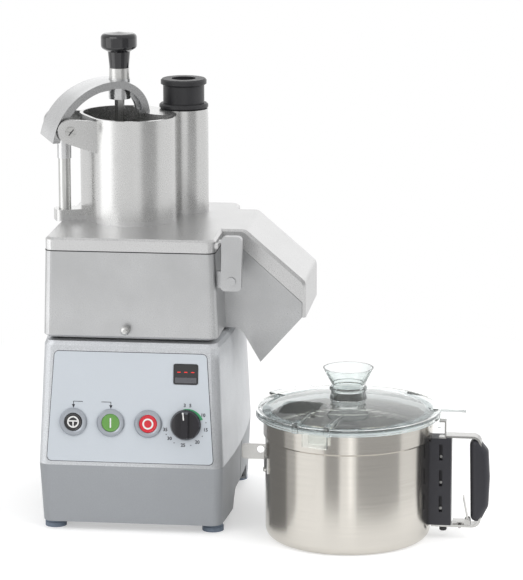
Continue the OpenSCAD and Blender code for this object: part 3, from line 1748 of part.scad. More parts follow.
motor_housing();
base_skirt();
bottom_plate();
feet();
foot_bolts();
label_plate();
display_window();
button_bezels();
pulse_button();
start_button();
stop_button();
button_switches();
speed_dial();
dial_control();
motor_frame();
stator();
rotor();
drive_shaft();
upper_bearing();
lower_bearing();
cooling_fan();
shaft_seal();
control_board();
cable_gland();
attachment();
ball_stud();
latch_bracket();
latch_lever();
hinge_pin();
ejector_disc();
slicing_disc();
slicing_blade();
feed_head();
pusher_arm();
arm_pin();
guide_rod();
guide_bush();
pusher_rod();
pusher_plate();
pusher_knob();
small_pusher();
cutter_bowl();
bowl_stem();
cutter_hub();
cutter_blades();
bowl_lid();
lid_seal();
handle_post();
post_screws();
handle_strap();
handle_grip();
release_trigger();
safety_plunger();
catch_bracket();
hook_tab();
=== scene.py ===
import math

import bmesh
import bpy
from mathutils import Matrix, Vector


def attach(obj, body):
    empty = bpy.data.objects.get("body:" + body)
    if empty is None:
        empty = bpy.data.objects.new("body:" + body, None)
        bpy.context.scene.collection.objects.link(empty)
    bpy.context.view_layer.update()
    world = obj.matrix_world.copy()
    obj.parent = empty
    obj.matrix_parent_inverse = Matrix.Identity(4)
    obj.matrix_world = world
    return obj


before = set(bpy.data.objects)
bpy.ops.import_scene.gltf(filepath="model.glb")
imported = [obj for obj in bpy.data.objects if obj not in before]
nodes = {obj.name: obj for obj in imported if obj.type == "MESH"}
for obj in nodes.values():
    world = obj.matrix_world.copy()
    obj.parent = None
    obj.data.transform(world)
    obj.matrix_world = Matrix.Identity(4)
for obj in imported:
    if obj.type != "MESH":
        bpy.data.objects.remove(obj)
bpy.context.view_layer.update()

print("stage 1: frame loaded with", len(nodes), "solids")

mm = 0.001
motorAxis = (-164.45, 32.04)  # where the machine's upright axis meets the table, in millimetres

# The leaning front of the base; places on it go across, up the lean and outwards
panel = {"foot": (-156.0, 93.2), "top": (-139.0, 253.0), "controlUp": 58.5,
         "pulse": -76.2, "start": -25.8, "stop": 24.6, "dial": 75.0,
         "plateOut": 0.4, "dishOut": 2.8, "markLift": 0.03}


def machineAt(x, y, z):
    return Vector((motorAxis[0] + x, motorAxis[1] + y, z)) * mm


def panelPlace(x, up, out):
    (footY, footZ), (topY, topZ) = panel["foot"], panel["top"]
    lean = math.atan((topY - footY) / (topZ - footZ))
    y = footY + up * math.sin(lean) - out * math.cos(lean)
    z = footZ + up * math.cos(lean) + out * math.sin(lean)
    axes = Matrix(((1, 0, 0), (0, math.sin(lean), math.cos(lean)),
                   (0, -math.cos(lean), math.sin(lean))))
    return Matrix.Translation(machineAt(x, y, z)) @ axes.transposed().to_4x4()


# Angles in degrees, distance and target in millimetres, focus and height in pixels, clip in metres
cameraView = {"azimuth": 6.916, "pitch": 12.303, "roll": -0.1016, "distance": 4119.4,
              "focus": 3028.1, "target": (158.26, 0.0, 303.94), "imageHeight": 580,
              "clip": (0.1, 80)}


def makeCamera(view):
    azimuth, pitch, roll = (math.radians(view[key]) for key in ("azimuth", "pitch", "roll"))
    forward = Vector((-math.sin(azimuth) * math.cos(pitch), math.cos(azimuth) * math.cos(pitch),
                      -math.sin(pitch)))
    right = Vector((math.cos(azimuth), math.sin(azimuth), 0))
    up = right.cross(forward)
    across = right * math.cos(roll) + up * math.sin(roll)
    above = up * math.cos(roll) - right * math.sin(roll)
    data = bpy.data.cameras.new("frontView")
    data.lens = view["focus"] * data.sensor_width / view["imageHeight"]
    data.clip_start, data.clip_end = view["clip"]
    camera = bpy.data.objects.new("frontView", data)
    bpy.context.scene.collection.objects.link(camera)
    turn = Matrix((across, above, -forward)).transposed().to_4x4()
    eye = machineAt(*view["target"]) - forward * view["distance"] * mm
    camera.matrix_world = Matrix.Translation(eye) @ turn
    bpy.context.scene.camera = camera


makeCamera(cameraView)
print("stage 2: camera placed")


class Wire:  # an output socket that takes part in sums
    def __init__(self, finish, socket):
        self.finish, self.socket = finish, socket

    def join(self, operation, first, second):
        return self.finish.add("ShaderNodeMath", {"operation": operation}, {0: first, 1: second})

    def __add__(self, other):
        return self.join("ADD", self, other)

    def __radd__(self, other):
        return self.join("ADD", other, self)

    def __sub__(self, other):
        return self.join("SUBTRACT", self, other)

    def __rsub__(self, other):
        return self.join("SUBTRACT", other, self)

    def __mul__(self, other):
        return self.join("MULTIPLY", self, other)

    def __rmul__(self, other):
        return self.join("MULTIPLY", other, self)


class Finish:  # the nodes of a material or of the world, and the few ways they are made
    def __init__(self, owner):
        self.owner = owner
        owner.use_nodes = True
        self.tree = owner.node_tree
        self.tree.nodes.clear()

    def add(self, kind, settings, sockets, output=0):
        node = self.tree.nodes.new(kind)
        for key, value in settings.items():
            if key == "stops":
                for element, (place, level) in zip(node.color_ramp.elements, value):
                    element.position, element.color = place, (level, level, level, 1)
            else:
                setattr(node, key, value)
        for key, value in sockets.items():
            if isinstance(value, Wire):
                self.tree.links.new(value.socket, node.inputs[key])
            else:
                node.inputs[key].default_value = value
        return Wire(self, node.outputs[output]) if len(node.outputs) else None

    def at(self):
        return self.add("ShaderNodeTexCoord", {}, {}, "Object")

    def noise(self, scale, detail=2.0, roughness=0.5, stretch=(1, 1, 1)):
        along = self.add("ShaderNodeVectorMath", {"operation": "MULTIPLY"},
                         {0: self.at(), 1: stretch})
        return self.add("ShaderNodeTexNoise", {}, {
            "Vector": along, "Scale": scale, "Detail": detail, "Roughness": roughness})

    def ramp(self, value, low, high):
        return self.add("ShaderNodeValToRGB", {"stops": ((low, 0), (high, 1))}, {"Fac": value})

    def height(self):  # how high a point lies above the table
        return self.add("ShaderNodeSeparateXYZ", {}, {0: self.at()}, "Z")

    def mix(self, amount, first, second):  # a Mix node takes colours at 6 and 7 and gives one at 2
        first, second = ((*colour, 1) if isinstance(colour, tuple) else colour
                         for colour in (first, second))
        return self.add("ShaderNodeMix", {"data_type": "RGBA"}, {0: amount, 6: first, 7: second}, 2)

    def varied(self, value, ends, colour, vary):  # darker where the value is low
        return self.mix(self.ramp(value, *ends), shade(colour, 1 - vary), shade(colour, 1 + vary))

    def bump(self, height, depth, strength):
        return self.add("ShaderNodeBump", {}, {
            "Height": height, "Distance": depth * mm, "Strength": strength})

    def anyRay(self, *names):  # 1 for rays of these kinds and 0 for all others
        found = self.add("ShaderNodeLightPath", {}, {}, names[0])
        for name in names[1:]:
            ray = self.add("ShaderNodeLightPath", {}, {}, name)
            found = self.add("ShaderNodeMath", {"operation": "MAXIMUM"}, {0: found, 1: ray})
        return found

    def principled(self, sockets):
        return self.add("ShaderNodeBsdfPrincipled", {}, sockets)

    def close(self, shader, output="ShaderNodeOutputMaterial"):
        self.add(output, {}, {"Surface": shader})
        return self.owner


def newFinish(name):
    return Finish(bpy.data.materials.new(name))


def shade(colour, share):
    return tuple(min(1.0, part * share) for part in colour)


# Noise levels that count as none and as full, and the middle that leaves a value as it is
grainEnds, cloudEnds, noiseMiddle = (0.34, 0.66), (0.3, 0.7), 0.5

# What a grainy finish has unless its own line says otherwise
grainUsual = {"stretch": (1, 1, 1), "vary": 0.05, "cloud": 28, "wear": 0.35, "wearShare": 0.93,
              "metallic": 0.0, "roughVary": 0.15, "cloudRough": 0.12, "depth": 0.05,
              "strength": 0.6, "fixed": {}}


# Paint, moulding and metal with an even grain, in cycles a metre, and a relief in millimetres
def grainy(name, ownLook):
    look = {**grainUsual, **ownLook}
    finish = newFinish(name)
    grain = finish.noise(look["grain"], roughness=0.6, stretch=look["stretch"])
    cloud = finish.noise(look["cloud"], detail=3.0)
    fine = finish.varied(grain, grainEnds, look["base"], look["vary"])
    worn = finish.mix(finish.ramp(cloud, *cloudEnds) * look["wear"], fine,
                      shade(look["base"], look["wearShare"]))
    rough = look["roughness"] + (grain - noiseMiddle) * look["roughVary"]
    sockets = {"Base Color": worn, "Metallic": look["metallic"],
               "Roughness": rough + (cloud - noiseMiddle) * look["cloudRough"],
               "Normal": finish.bump(grain, look["depth"], look["strength"])}
    return finish.close(finish.principled({**sockets, **look["fixed"]}))


grainLooks = {
    "castPaint": {"base": (0.55, 0.565, 0.585), "grain": 850, "vary": 0.16, "roughness": 0.40,
                  "depth": 0.16, "roughVary": 0.3, "metallic": 0.6},
    "skirtPaint": {"base": (0.33, 0.345, 0.365), "grain": 1100, "roughness": 0.5, "depth": 0.08},
    "sheetSteel": {"base": (0.46, 0.47, 0.48), "grain": 500, "roughness": 0.38, "metallic": 1.0,
                   "stretch": (0.05, 1, 1), "depth": 0.02},
    "footRubber": {"base": (0.17, 0.21, 0.27), "grain": 1300, "vary": 0.12, "roughness": 0.62,
                   "depth": 0.08},
    "zincSteel": {"base": (0.56, 0.56, 0.55), "grain": 1400, "roughness": 0.28, "metallic": 1.0,
                  "depth": 0.02},
    "labelSatin": {"base": (0.56, 0.60, 0.645), "grain": 1600, "vary": 0.02, "roughness": 0.38,
                   "depth": 0.02, "metallic": 0.1, "wear": 0.15},
    "blackGloss": {"base": (0.012, 0.012, 0.014), "grain": 700, "roughness": 0.14,
                   "roughVary": 0.05, "depth": 0.01, "fixed": {"Coat Weight": 0.4}},
    "bezelGrey": {"base": (0.36, 0.385, 0.42), "grain": 1500, "roughness": 0.3, "roughVary": 0.05,
                  "depth": 0.01, "metallic": 0.6},
    "greenCap": {"base": (0.13, 0.32, 0.07), "grain": 900, "roughness": 0.25, "depth": 0.02},
    "redCap": {"base": (0.62, 0.02, 0.035), "grain": 900, "roughness": 0.25, "depth": 0.02},
    "switchBlack": {"base": (0.018, 0.018, 0.02), "grain": 1200, "roughness": 0.45, "depth": 0.03},
    "mattBlack": {"base": (0.016, 0.016, 0.018), "grain": 1500, "vary": 0.2, "roughness": 0.42},
    "dialBlack": {"base": (0.012, 0.011, 0.015), "grain": 900, "vary": 0.1, "roughness": 0.12,
                  "roughVary": 0.06, "depth": 0.01, "fixed": {"Coat Weight": 0.5}},
    "motorIron": {"base": (0.14, 0.145, 0.15), "grain": 500, "vary": 0.2, "roughness": 0.6,
                  "metallic": 0.6, "depth": 0.2},
    "winding": {"base": (0.42, 0.15, 0.06), "grain": 500, "vary": 0.3, "roughness": 0.4,
                "metallic": 0.7, "stretch": (0.2, 0.2, 3), "depth": 0.3},
    "boardGreen": {"base": (0.01, 0.05, 0.025), "grain": 600, "vary": 0.2, "roughness": 0.4},
    "castAluminium": {"base": (0.53, 0.535, 0.54), "grain": 900, "vary": 0.13, "roughness": 0.36,
                      "roughVary": 0.4, "depth": 0.12, "metallic": 1.0, "wear": 0.8,
                      "wearShare": 0.84, "cloud": 16},
    "armAluminium": {"base": (0.62, 0.625, 0.63), "grain": 900, "vary": 0.08, "roughness": 0.28,
                     "roughVary": 0.2, "depth": 0.04, "metallic": 1.0, "wear": 0.6,
                     "wearShare": 0.86},
    "foodWhite": {"base": (0.74, 0.74, 0.71), "grain": 900, "vary": 0.03, "roughness": 0.42,
                  "depth": 0.04},
    "groundSteel": {"base": (0.58, 0.58, 0.57), "grain": 900, "vary": 0.06, "roughness": 0.2,
                    "metallic": 1.0, "stretch": (1, 1, 0.04), "depth": 0.02},
    "strapSteel": {"base": (0.52, 0.515, 0.50), "grain": 700, "vary": 0.06, "roughness": 0.24,
                   "metallic": 1.0, "stretch": (1, 1, 0.06), "depth": 0.02},
    "insertSteel": {"base": (0.30, 0.30, 0.29), "grain": 900, "vary": 0.1, "roughness": 0.38,
                    "metallic": 1.0, "depth": 0.02},
    "postGrey": {"base": (0.022, 0.022, 0.028), "grain": 1100, "vary": 0.15, "roughness": 0.46,
                 "depth": 0.09},
    "sealMilky": {"base": (0.50, 0.53, 0.54), "grain": 800, "vary": 0.04, "roughness": 0.4,
                  "depth": 0.04},
    "markWhite": {"base": (0.80, 0.80, 0.79), "grain": 900, "vary": 0.02, "roughness": 0.4,
                  "depth": 0.01},
    # Dark for printed marks, and for the painted shade in the recess round the front plate
    "markAndShadeDark": {"base": (0.012, 0.012, 0.02), "grain": 900, "roughness": 0.5, "depth": 0.01},
    "markGreen": {"base": (0.05, 0.33, 0.14), "grain": 900, "roughness": 0.45, "depth": 0.01},
    "bandGrey": {"base": (0.10, 0.10, 0.11), "grain": 900, "roughness": 0.3, "depth": 0.01},
    # Black for painted shade: the base's gap, the slot in the arm's pin and the lid's seam
    "paintedShadeBlack": {"base": (0.01, 0.01, 0.011), "grain": 900, "vary": 0.1, "roughness": 0.6,
                    "depth": 0.03},
}
finishes = {name: grainy(name, look) for name, look in grainLooks.items()}

# Finer, brighter skin above the lid's top than on the cast part below it; heights in metres
headLook = {"base": (0.60, 0.60, 0.60), "wall": (0.60, 0.60, 0.595), "from": 0.4015, "to": 0.4035,
            "sand": 900, "streak": (1500, 1500, 500), "cloud": 26, "castVary": 0.12,
            "wallVary": 0.07, "castRough": 0.36, "sandRough": 0.4, "wallRough": 0.27,
            "streakRough": 0.12, "cloudRough": 0.12, "streakRelief": 0.004, "metallic": 0.95,
            "depth": 0.12, "strength": 0.6}


def headMetal(look):
    finish = newFinish("headMetal")
    sand = finish.noise(look["sand"], roughness=0.6)
    streak = finish.noise(1.0, detail=3.0, roughness=0.6, stretch=look["streak"])
    cloud = finish.noise(look["cloud"], detail=3.0)
    upper = finish.ramp(finish.height(), look["from"], look["to"])
    cast = finish.varied(sand, grainEnds, look["base"], look["castVary"])
    wall = finish.varied(streak, cloudEnds, look["wall"], look["wallVary"])
    castRough = look["castRough"] + (sand - noiseMiddle) * look["sandRough"]
    wallRough = look["wallRough"] + (streak - noiseMiddle) * look["streakRough"]
    rough = castRough * (1 - upper) + wallRough * upper
    relief = sand * (1 - upper) + streak * upper * look["streakRelief"]
    return finish.close(finish.principled({
        "Base Color": finish.mix(upper, cast, wall), "Metallic": look["metallic"],
        "Roughness": rough + (cloud - noiseMiddle) * look["cloudRough"],
        "Normal": finish.bump(relief, look["depth"], look["strength"])}))


finishes["headMetal"] = headMetal(headLook)

# The bowl is brushed round its axis, so its lines stretch reflections upwards
bowlLook = {"base": (0.60, 0.575, 0.53), "line": (10, 10, 2600), "cloud": 20, "vary": 0.07,
            "roughness": 0.22, "lineRough": 0.10, "cloudRough": 0.04, "brushed": 0.55,
            "brushTurn": 0.25, "depth": 0.006, "strength": 0.5}


def bowlMetal(look):
    finish = newFinish("bowlMetal")
    line = finish.noise(1.0, detail=3.0, roughness=0.6, stretch=look["line"])
    cloud = finish.noise(look["cloud"], detail=3.0)
    rough = look["roughness"] + (line - noiseMiddle) * look["lineRough"]
    return finish.close(finish.principled({
        "Base Color": finish.varied(line, cloudEnds, look["base"], look["vary"]),
        "Metallic": 1.0, "Anisotropic": look["brushed"], "Anisotropic Rotation": look["brushTurn"],
        "Roughness": rough + (cloud - noiseMiddle) * look["cloudRough"],
        "Normal": finish.bump(line, look["depth"], look["strength"])}))


finishes["bowlMetal"] = bowlMetal(bowlLook)

# Clear moulding, slightly green, with faint flow marks; it casts hardly any shadow
clearLook = {"base": (0.95, 0.985, 0.98), "through": (0.96, 0.98, 0.975), "deeper": 0.97,
             "roughness": 0.02, "flowRough": 0.02, "ior": 1.40, "clear": 0.96, "flow": 30,
             "depth": 0.1, "strength": 0.4}


def clearMoulding(look):
    finish = newFinish("clearMoulding")
    flow = finish.noise(look["flow"])
    shell = finish.principled({
        "Base Color": finish.mix(flow, look["base"], shade(look["base"], look["deeper"])),
        "Roughness": look["roughness"] + (flow - noiseMiddle) * look["flowRough"],
        "Transmission Weight": look["clear"], "IOR": look["ior"],
        "Normal": finish.bump(flow, look["depth"], look["strength"])})
    through = finish.add("ShaderNodeBsdfTransparent", {}, {"Color": (*look["through"], 1)})
    unseen = finish.anyRay("Is Shadow Ray", "Is Diffuse Ray")
    return finish.close(finish.add("ShaderNodeMixShader", {}, {0: unseen, 1: shell, 2: through}))


finishes["clearMoulding"] = clearMoulding(clearLook)

# Lit dashes of the display
glowLook = {"colour": (0.9, 0.03, 0.02), "unlit": (0.5, 0.7), "dimmer": 0.9, "speck": 900,
            "roughness": 0.4, "emission": 0.8, "depth": 0.01, "strength": 1.0}


def redGlow(look):
    finish = newFinish("redGlow")
    speck = finish.noise(look["speck"], detail=1.0)
    dark, pale = (shade(look["colour"], share) for share in look["unlit"])
    lit = finish.mix(speck, shade(look["colour"], look["dimmer"]), look["colour"])
    return finish.close(finish.principled({
        "Base Color": finish.mix(speck, dark, pale), "Roughness": look["roughness"],
        "Emission Color": lit, "Emission Strength": look["emission"],
        "Normal": finish.bump(speck, look["depth"], look["strength"])}))


finishes["redGlow"] = redGlow(glowLook)

wearing = {
    "castPaint": ["motor_housing"], "skirtPaint": ["base_skirt"], "sheetSteel": ["bottom_plate"],
    "footRubber": ["feet", "shaft_seal"], "labelSatin": ["label_plate"],
    "bezelGrey": ["button_bezels"],
    "zincSteel": ["foot_bolts", "drive_shaft", "upper_bearing", "lower_bearing", "ball_stud",
                  "hinge_pin", "arm_pin", "guide_bush"],
    "insertSteel": ["post_screws"],
    "blackGloss": ["display_window", "pulse_button", "pusher_knob"],
    "greenCap": ["start_button"], "redCap": ["stop_button"],
    "switchBlack": ["button_switches", "dial_control", "cooling_fan"],
    "dialBlack": ["speed_dial"],
    "mattBlack": ["cable_gland", "small_pusher", "cutter_hub", "safety_plunger"],
    "motorIron": ["motor_frame", "rotor"], "winding": ["stator"],
    "boardGreen": ["control_board"],
    "castAluminium": ["attachment", "latch_bracket", "latch_lever", "slicing_disc"],
    "armAluminium": ["pusher_arm"],
    "headMetal": ["feed_head"], "foodWhite": ["ejector_disc", "pusher_plate"],
    "groundSteel": ["slicing_blade", "guide_rod", "pusher_rod", "cutter_blades"],
    "bowlMetal": ["cutter_bowl"],
    "strapSteel": ["bowl_stem", "handle_strap", "release_trigger", "catch_bracket", "hook_tab"],
    "clearMoulding": ["bowl_lid"], "sealMilky": ["lid_seal"],
    "postGrey": ["handle_post", "handle_grip"],
}


def wearFinishes(lists):
    for finishName, members in lists.items():
        for member in members:
            data = nodes[member].data
            data.materials.clear()
            data.materials.append(finishes[finishName])


wearFinishes(wearing)
print("stage 3: finishes on", sum(len(members) for members in wearing.values()), "solids")


# Mesh makers: each gives vertices and faces in millimetres of a local frame
def ringMesh(inner, outer, thick, turns=64):  # a flat ring round the local Z axis
    profile = [(inner, 0), (outer, 0), (outer, thick), (inner, thick)]
    verts, faces, count = [], [], len(profile)
    for step in range(turns):
        angle = 2 * math.pi * step / turns
        verts += [(r * math.cos(angle), r * math.sin(angle), h) for r, h in profile]
    for step in range(turns):
        here, after = step * count, (step + 1) % turns * count
        for k in range(count):
            n = (k + 1) % count
            faces.append((here + k, after + k, after + n, here + n))
    return verts, faces


def plateMesh(outline, low, high):  # an outline raised from low to high
    count = len(outline)
    verts = [(x, y, low) for x, y in outline] + [(x, y, high) for x, y in outline]
    faces = [tuple(range(count))[::-1], tuple(range(count, count * 2))]
    faces += [(k, (k + 1) % count, count + (k + 1) % count, count + k) for k in range(count)]
    return verts, faces


def stripMesh(inner, outer, low, high):  # a band between two lines of points, with end faces
    count = len(inner)
    verts = [(x, y, z) for z in (low, high) for line in (inner, outer) for x, y in line]
    faces = []
    for k in range(count - 1):
        n = k + 1
        faces += [(2 * count + k, 2 * count + n, 3 * count + n, 3 * count + k),
                  (k, count + k, count + n, n), (k, n, 2 * count + n, 2 * count + k),
                  (count + k, 3 * count + k, 3 * count + n, count + n)]
    last = count - 1
    faces += [(0, 2 * count, 3 * count, count),
              (last, count + last, 3 * count + last, 2 * count + last)]
    return verts, faces


def beadMesh(path, radius, sides=8):  # a round bead along a closed path of points
    points = [Vector(p) for p in path]
    count = len(points)
    verts, faces = [], []
    side = None
    for k, point in enumerate(points):
        along = (points[(k + 1) % count] - points[k - 1]).normalized()
        if side is None:
            side = along.cross(Vector((0.3, 0.2, 1))).normalized()  # any line off the path
        side = (side - along * side.dot(along)).normalized()
        other = along.cross(side)
        for turn in range(sides):
            angle = 2 * math.pi * turn / sides
            offset = (side * math.cos(angle) + other * math.sin(angle)) * radius
            verts.append(tuple(point + offset))
    for k in range(count):
        n = (k + 1) % count
        for turn in range(sides):
            t = (turn + 1) % sides
            faces.append((k * sides + turn, k * sides + t, n * sides + t, n * sides + turn))
    return verts, faces


def arcLine(cx, cy, radius, start, end, steps=24):
    turns = [math.radians(start + (end - start) * k / steps) for k in range(steps + 1)]
    return [(cx + radius * math.cos(t), cy + radius * math.sin(t)) for t in turns]


def dotLine(cx, cy, radius, sides=24):
    return arcLine(cx, cy, radius, 0, 360 - 360 / sides, sides - 1)


def roundedLine(left, low, right, high, radius, steps=6):
    corners = [(right - radius, low + radius, -90), (right - radius, high - radius, 0),
               (left + radius, high - radius, 90), (left + radius, low + radius, 180)]
    return [point for x, y, turn in corners
            for point in arcLine(x, y, radius, turn, turn + 90, steps)]


sharpAngle = math.radians(35)  # edges that turn more than this stay sharp


def makePiece(name, body, finishName, shapes, place):
    mesh = bpy.data.meshes.new(name)
    build = bmesh.new()
    for verts, faces in shapes:
        made = [build.verts.new(Vector(v)) for v in verts]
        for face in faces:
            build.faces.new([made[k] for k in face])
    bmesh.ops.recalc_face_normals(build, faces=build.faces)
    bmesh.ops.transform(build, matrix=place @ Matrix.Scale(mm, 4), verts=build.verts)
    build.to_mesh(mesh)
    build.free()
    for face in mesh.polygons:
        face.use_smooth = True
    mesh.set_sharp_from_angle(angle=sharpAngle)
    mesh.materials.append(finishes[finishName])
    piece = bpy.data.objects.new(name, mesh)
    bpy.context.scene.collection.objects.link(piece)
    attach(piece, body)


# Signs in the dished caps: a ring with bars, a bar and a ring
signs = {"ring": (6.0, 7.9), "bar": 1.7, "barUp": 0.4, "overlap": 0.2, "downTop": 0.5,
         "barRound": 0.9, "stopRing": (5.2, 7.4), "startBar": (1.9, 6.6), "startRound": 0.4,
         "thick": 0.25, "lift": 0.4}


def makeSign(name, cap, shapes):
    place = panelPlace(panel[cap], panel["controlUp"], panel["dishOut"] + signs["lift"])
    makePiece(name, cap, "markWhite", shapes, place)


def makeSigns(s):
    top, half, reach = s["thick"], s["bar"] / 2, s["ring"][0] + s["overlap"]
    corner = half * s["barRound"]
    across = roundedLine(-reach, s["barUp"], reach, s["barUp"] + s["bar"], corner)
    down = roundedLine(-half, -reach, half, s["downTop"], corner)
    makeSign("pulseSign", "pulse", [ringMesh(*s["ring"], top), plateMesh(across, 0, top),
                                    plateMesh(down, 0, top)])
    width, tall = s["startBar"]
    bar = roundedLine(-width / 2, -tall, width / 2, tall, width * s["startRound"])
    makeSign("startSign", "start", [plateMesh(bar, 0, top)])
    makeSign("stopSign", "stop", [ringMesh(*s["stopRing"], top)])


makeSigns(signs)

# Scale round the dial, its rising band and the pointer line on the grip
scale = {"numbers": {"3": (-1.6, 25.8), "5": (5.9, 25.7), "10": (23, 13.3), "15": (26.5, -6.2),
                     "20": (15.6, -22.9), "25": (-3.5, -27.6), "30": (-21.7, -19),
                     "35": (-27.5, -7.3)},
         "size": 6.2, "heavy": 0.16, "numberHalf": 0.06, "curveSteps": 4,
         "dots": [(-15.5, -24.6), (7, -27.4), (22.2, -14.8), (27, 3.6), (-26.2, -13.6)],
         "dotR": 0.7, "band": (20.4, 23.6), "bandFrom": 100, "bandTo": 18, "bandThin": 0.5,
         "thick": 0.12, "pointer": (0.8, 8.0, 18.6), "pointerRound": 0.9, "pointerThick": 0.2,
         "pointerTurn": 6, "pointerOut": 16.22}


def numberMesh(words, s):
    curve = bpy.data.curves.new("numberLine", "FONT")
    curve.body, curve.size, curve.align_x, curve.align_y = words, s["size"], "CENTER", "CENTER"
    curve.extrude, curve.offset, curve.resolution_u = s["numberHalf"], s["heavy"], s["curveSteps"]
    holder = bpy.data.objects.new("numberLine", curve)
    bpy.context.scene.collection.objects.link(holder)
    bpy.context.view_layer.update()
    mesh = holder.evaluated_get(bpy.context.evaluated_depsgraph_get()).to_mesh()
    shape = ([tuple(v.co) for v in mesh.vertices], [tuple(p.vertices) for p in mesh.polygons])
    bpy.data.objects.remove(holder)
    bpy.data.curves.remove(curve)
    return shape


def makeScale(s):
    dial, up = panel["dial"], panel["controlUp"]
    place = panelPlace(dial, up, panel["plateOut"] + panel["markLift"])
    numbers = []
    for words, (x, y) in s["numbers"].items():
        verts, faces = numberMesh(words, s)
        numbers.append(([(vx + x, vy + y, vz + s["numberHalf"]) for vx, vy, vz in verts], faces))
    makePiece("scaleNumbers", "base", "markAndShadeDark", numbers, place)
    dots = [plateMesh(dotLine(x, y, s["dotR"]), 0, s["thick"]) for x, y in s["dots"]]
    makePiece("scaleDots", "base", "markAndShadeDark", dots, place)
    low, high = s["band"]
    inner = arcLine(0, 0, low, s["bandFrom"], s["bandTo"])
    count = len(inner)
    reach = [low + s["bandThin"] + (high - low) * k / count for k in range(count)]
    outer = [(x * r / low, y * r / low) for (x, y), r in zip(inner, reach)]
    makePiece("scaleBand", "base", "markGreen",
              [stripMesh(inner, outer, 0, s["thick"])], place)
    half, start, end = s["pointer"]
    pointer = roundedLine(-half, start, half, end, half * s["pointerRound"])
    turn = Matrix.Rotation(math.radians(s["pointerTurn"]), 4, "Z")
    makePiece("dialPointer", "dial", "markWhite",
              [plateMesh(pointer, 0, s["pointerThick"])],
              panelPlace(dial, up, s["pointerOut"]) @ turn)


makeScale(scale)

# Three lit dashes, the grey strip at the window's foot and its rim
window = {"x": 74.5, "up": 126.0, "wide": 33.0, "high": 27.5, "out": 1.0, "dash": (4.6, 1.1),
          "dashUp": 2.8, "dashes": (-9.2, 0.0, 9.2), "dashRound": 0.9, "dashThick": 0.12,
          "strip": (-11.6, -4.4), "stripIn": 2.2, "stripCorner": 0.6, "stripThick": 0.1,
          "rimIn": 0.7, "rimCorner": 2.4, "rimRadius": 0.28}


def makeWindow(w):
    place = panelPlace(w["x"], w["up"], w["out"] + panel["markLift"])
    half, tall = w["dash"][0] / 2, w["dash"][1] / 2
    lines = [roundedLine(x - half, w["dashUp"] - tall, x + half, w["dashUp"] + tall,
                         tall * w["dashRound"]) for x in w["dashes"]]
    makePiece("windowDashes", "base", "redGlow",
              [plateMesh(line, 0, w["dashThick"]) for line in lines], place)
    side, (low, high) = w["wide"] / 2 - w["stripIn"], w["strip"]
    strip = roundedLine(-side, low, side, high, w["stripCorner"])
    makePiece("windowStrip", "base", "bandGrey",
              [plateMesh(strip, 0, w["stripThick"])], place)
    halfWide, halfHigh = w["wide"] / 2 - w["rimIn"], w["high"] / 2 - w["rimIn"]
    edge = roundedLine(-halfWide, -halfHigh, halfWide, halfHigh, w["rimCorner"])
    rim = beadMesh([(x, y, 0) for x, y in edge], w["rimRadius"])
    makePiece("windowRim", "base", "switchBlack", [rim], place)


makeWindow(window)

# Thin arrows over the two left buttons
arrow = {"line": 0.8, "top": 86.0, "foot": 82.0, "gap": 12.5, "head": (4.4, 5.0), "thick": 0.1}


def makeArrows(a):
    place = panelPlace(0, 0, panel["plateOut"] + panel["markLift"])
    left, right, top, foot = panel["pulse"], panel["start"], a["top"], a["foot"]
    mid, line = (left + right) / 2, a["line"] / 2
    bars = [(left - line, top - line, mid - a["gap"], top + line),
            (mid + a["gap"], top - line, right + line, top + line),
            (left - line, foot, left + line, top), (right - line, foot, right + line, top)]
    outlines = [[(x0, y0), (x1, y0), (x1, y1), (x0, y1)] for x0, y0, x1, y1 in bars]
    wide, tall = a["head"]
    outlines += [[(x - wide / 2, foot), (x, foot - tall), (x + wide / 2, foot)]
                 for x in (left, right)]
    makePiece("controlArrows", "base", "markAndShadeDark",
              [plateMesh(outline, 0, a["thick"]) for outline in outlines], place)


makeArrows(arrow)

# Painted shade: a fine dark line in the recess round the front plate
plateEdgeShade = {"half": 112.3, "narrow": 10.0, "low": 5.2, "high": 153.3, "corner": 6.3, "steps": 8,
             "radius": 0.42, "out": 0.12}


def makePlateEdgeShade(e):
    line = []
    for x, up in roundedLine(-e["half"], e["low"], e["half"], e["high"], e["corner"], e["steps"]):
        share = (up - e["low"]) / (e["high"] - e["low"])
        line.append((x * (1 - share * e["narrow"] / e["half"]), up, 0))
    makePiece("plateEdgeShade", "base", "markAndShadeDark", [beadMesh(line, e["radius"])],
              panelPlace(0, 0, e["out"]))


makePlateEdgeShade(plateEdgeShade)
print("stage 4: front controls marked")

machinePlace = Matrix.Translation(machineAt(0, 0, 0))

# Black strip that fills the gap between the base casting and the vegetable attachment: painted
# shade of the gap
gapShade = {"halfWide": 108.0, "front": -130.0, "back": 136.0, "corner": 14.0, "innerCorner": 11.0,
          "steps": 8, "low": 261.05, "high": 264.2, "wide": 6.0}


def makeGapShade(g):
    side, front, back, wide = g["halfWide"], g["front"], g["back"], g["wide"]
    outer = roundedLine(-side, front, side, back, g["corner"], g["steps"])
    inner = roundedLine(-side + wide, front + wide, side - wide, back - wide, g["innerCorner"],
                        g["steps"])
    outer.append(outer[0])
    inner.append(inner[0])
    makePiece("baseGapShade", "base", "paintedShadeBlack",
              [stripMesh(inner, outer, g["low"], g["high"])], machinePlace)


makeGapShade(gapShade)

# Painted shade of the slot in the front head of the arm's pin: a black groove
pinSlotShade = {"front": (-89.94, -60.74, 526.0), "along": (0.3749, -0.9271, 0), "half": 5.2,
           "wide": 1.5, "round": 0.6, "rise": (-0.2, 0.06), "turn": 50}


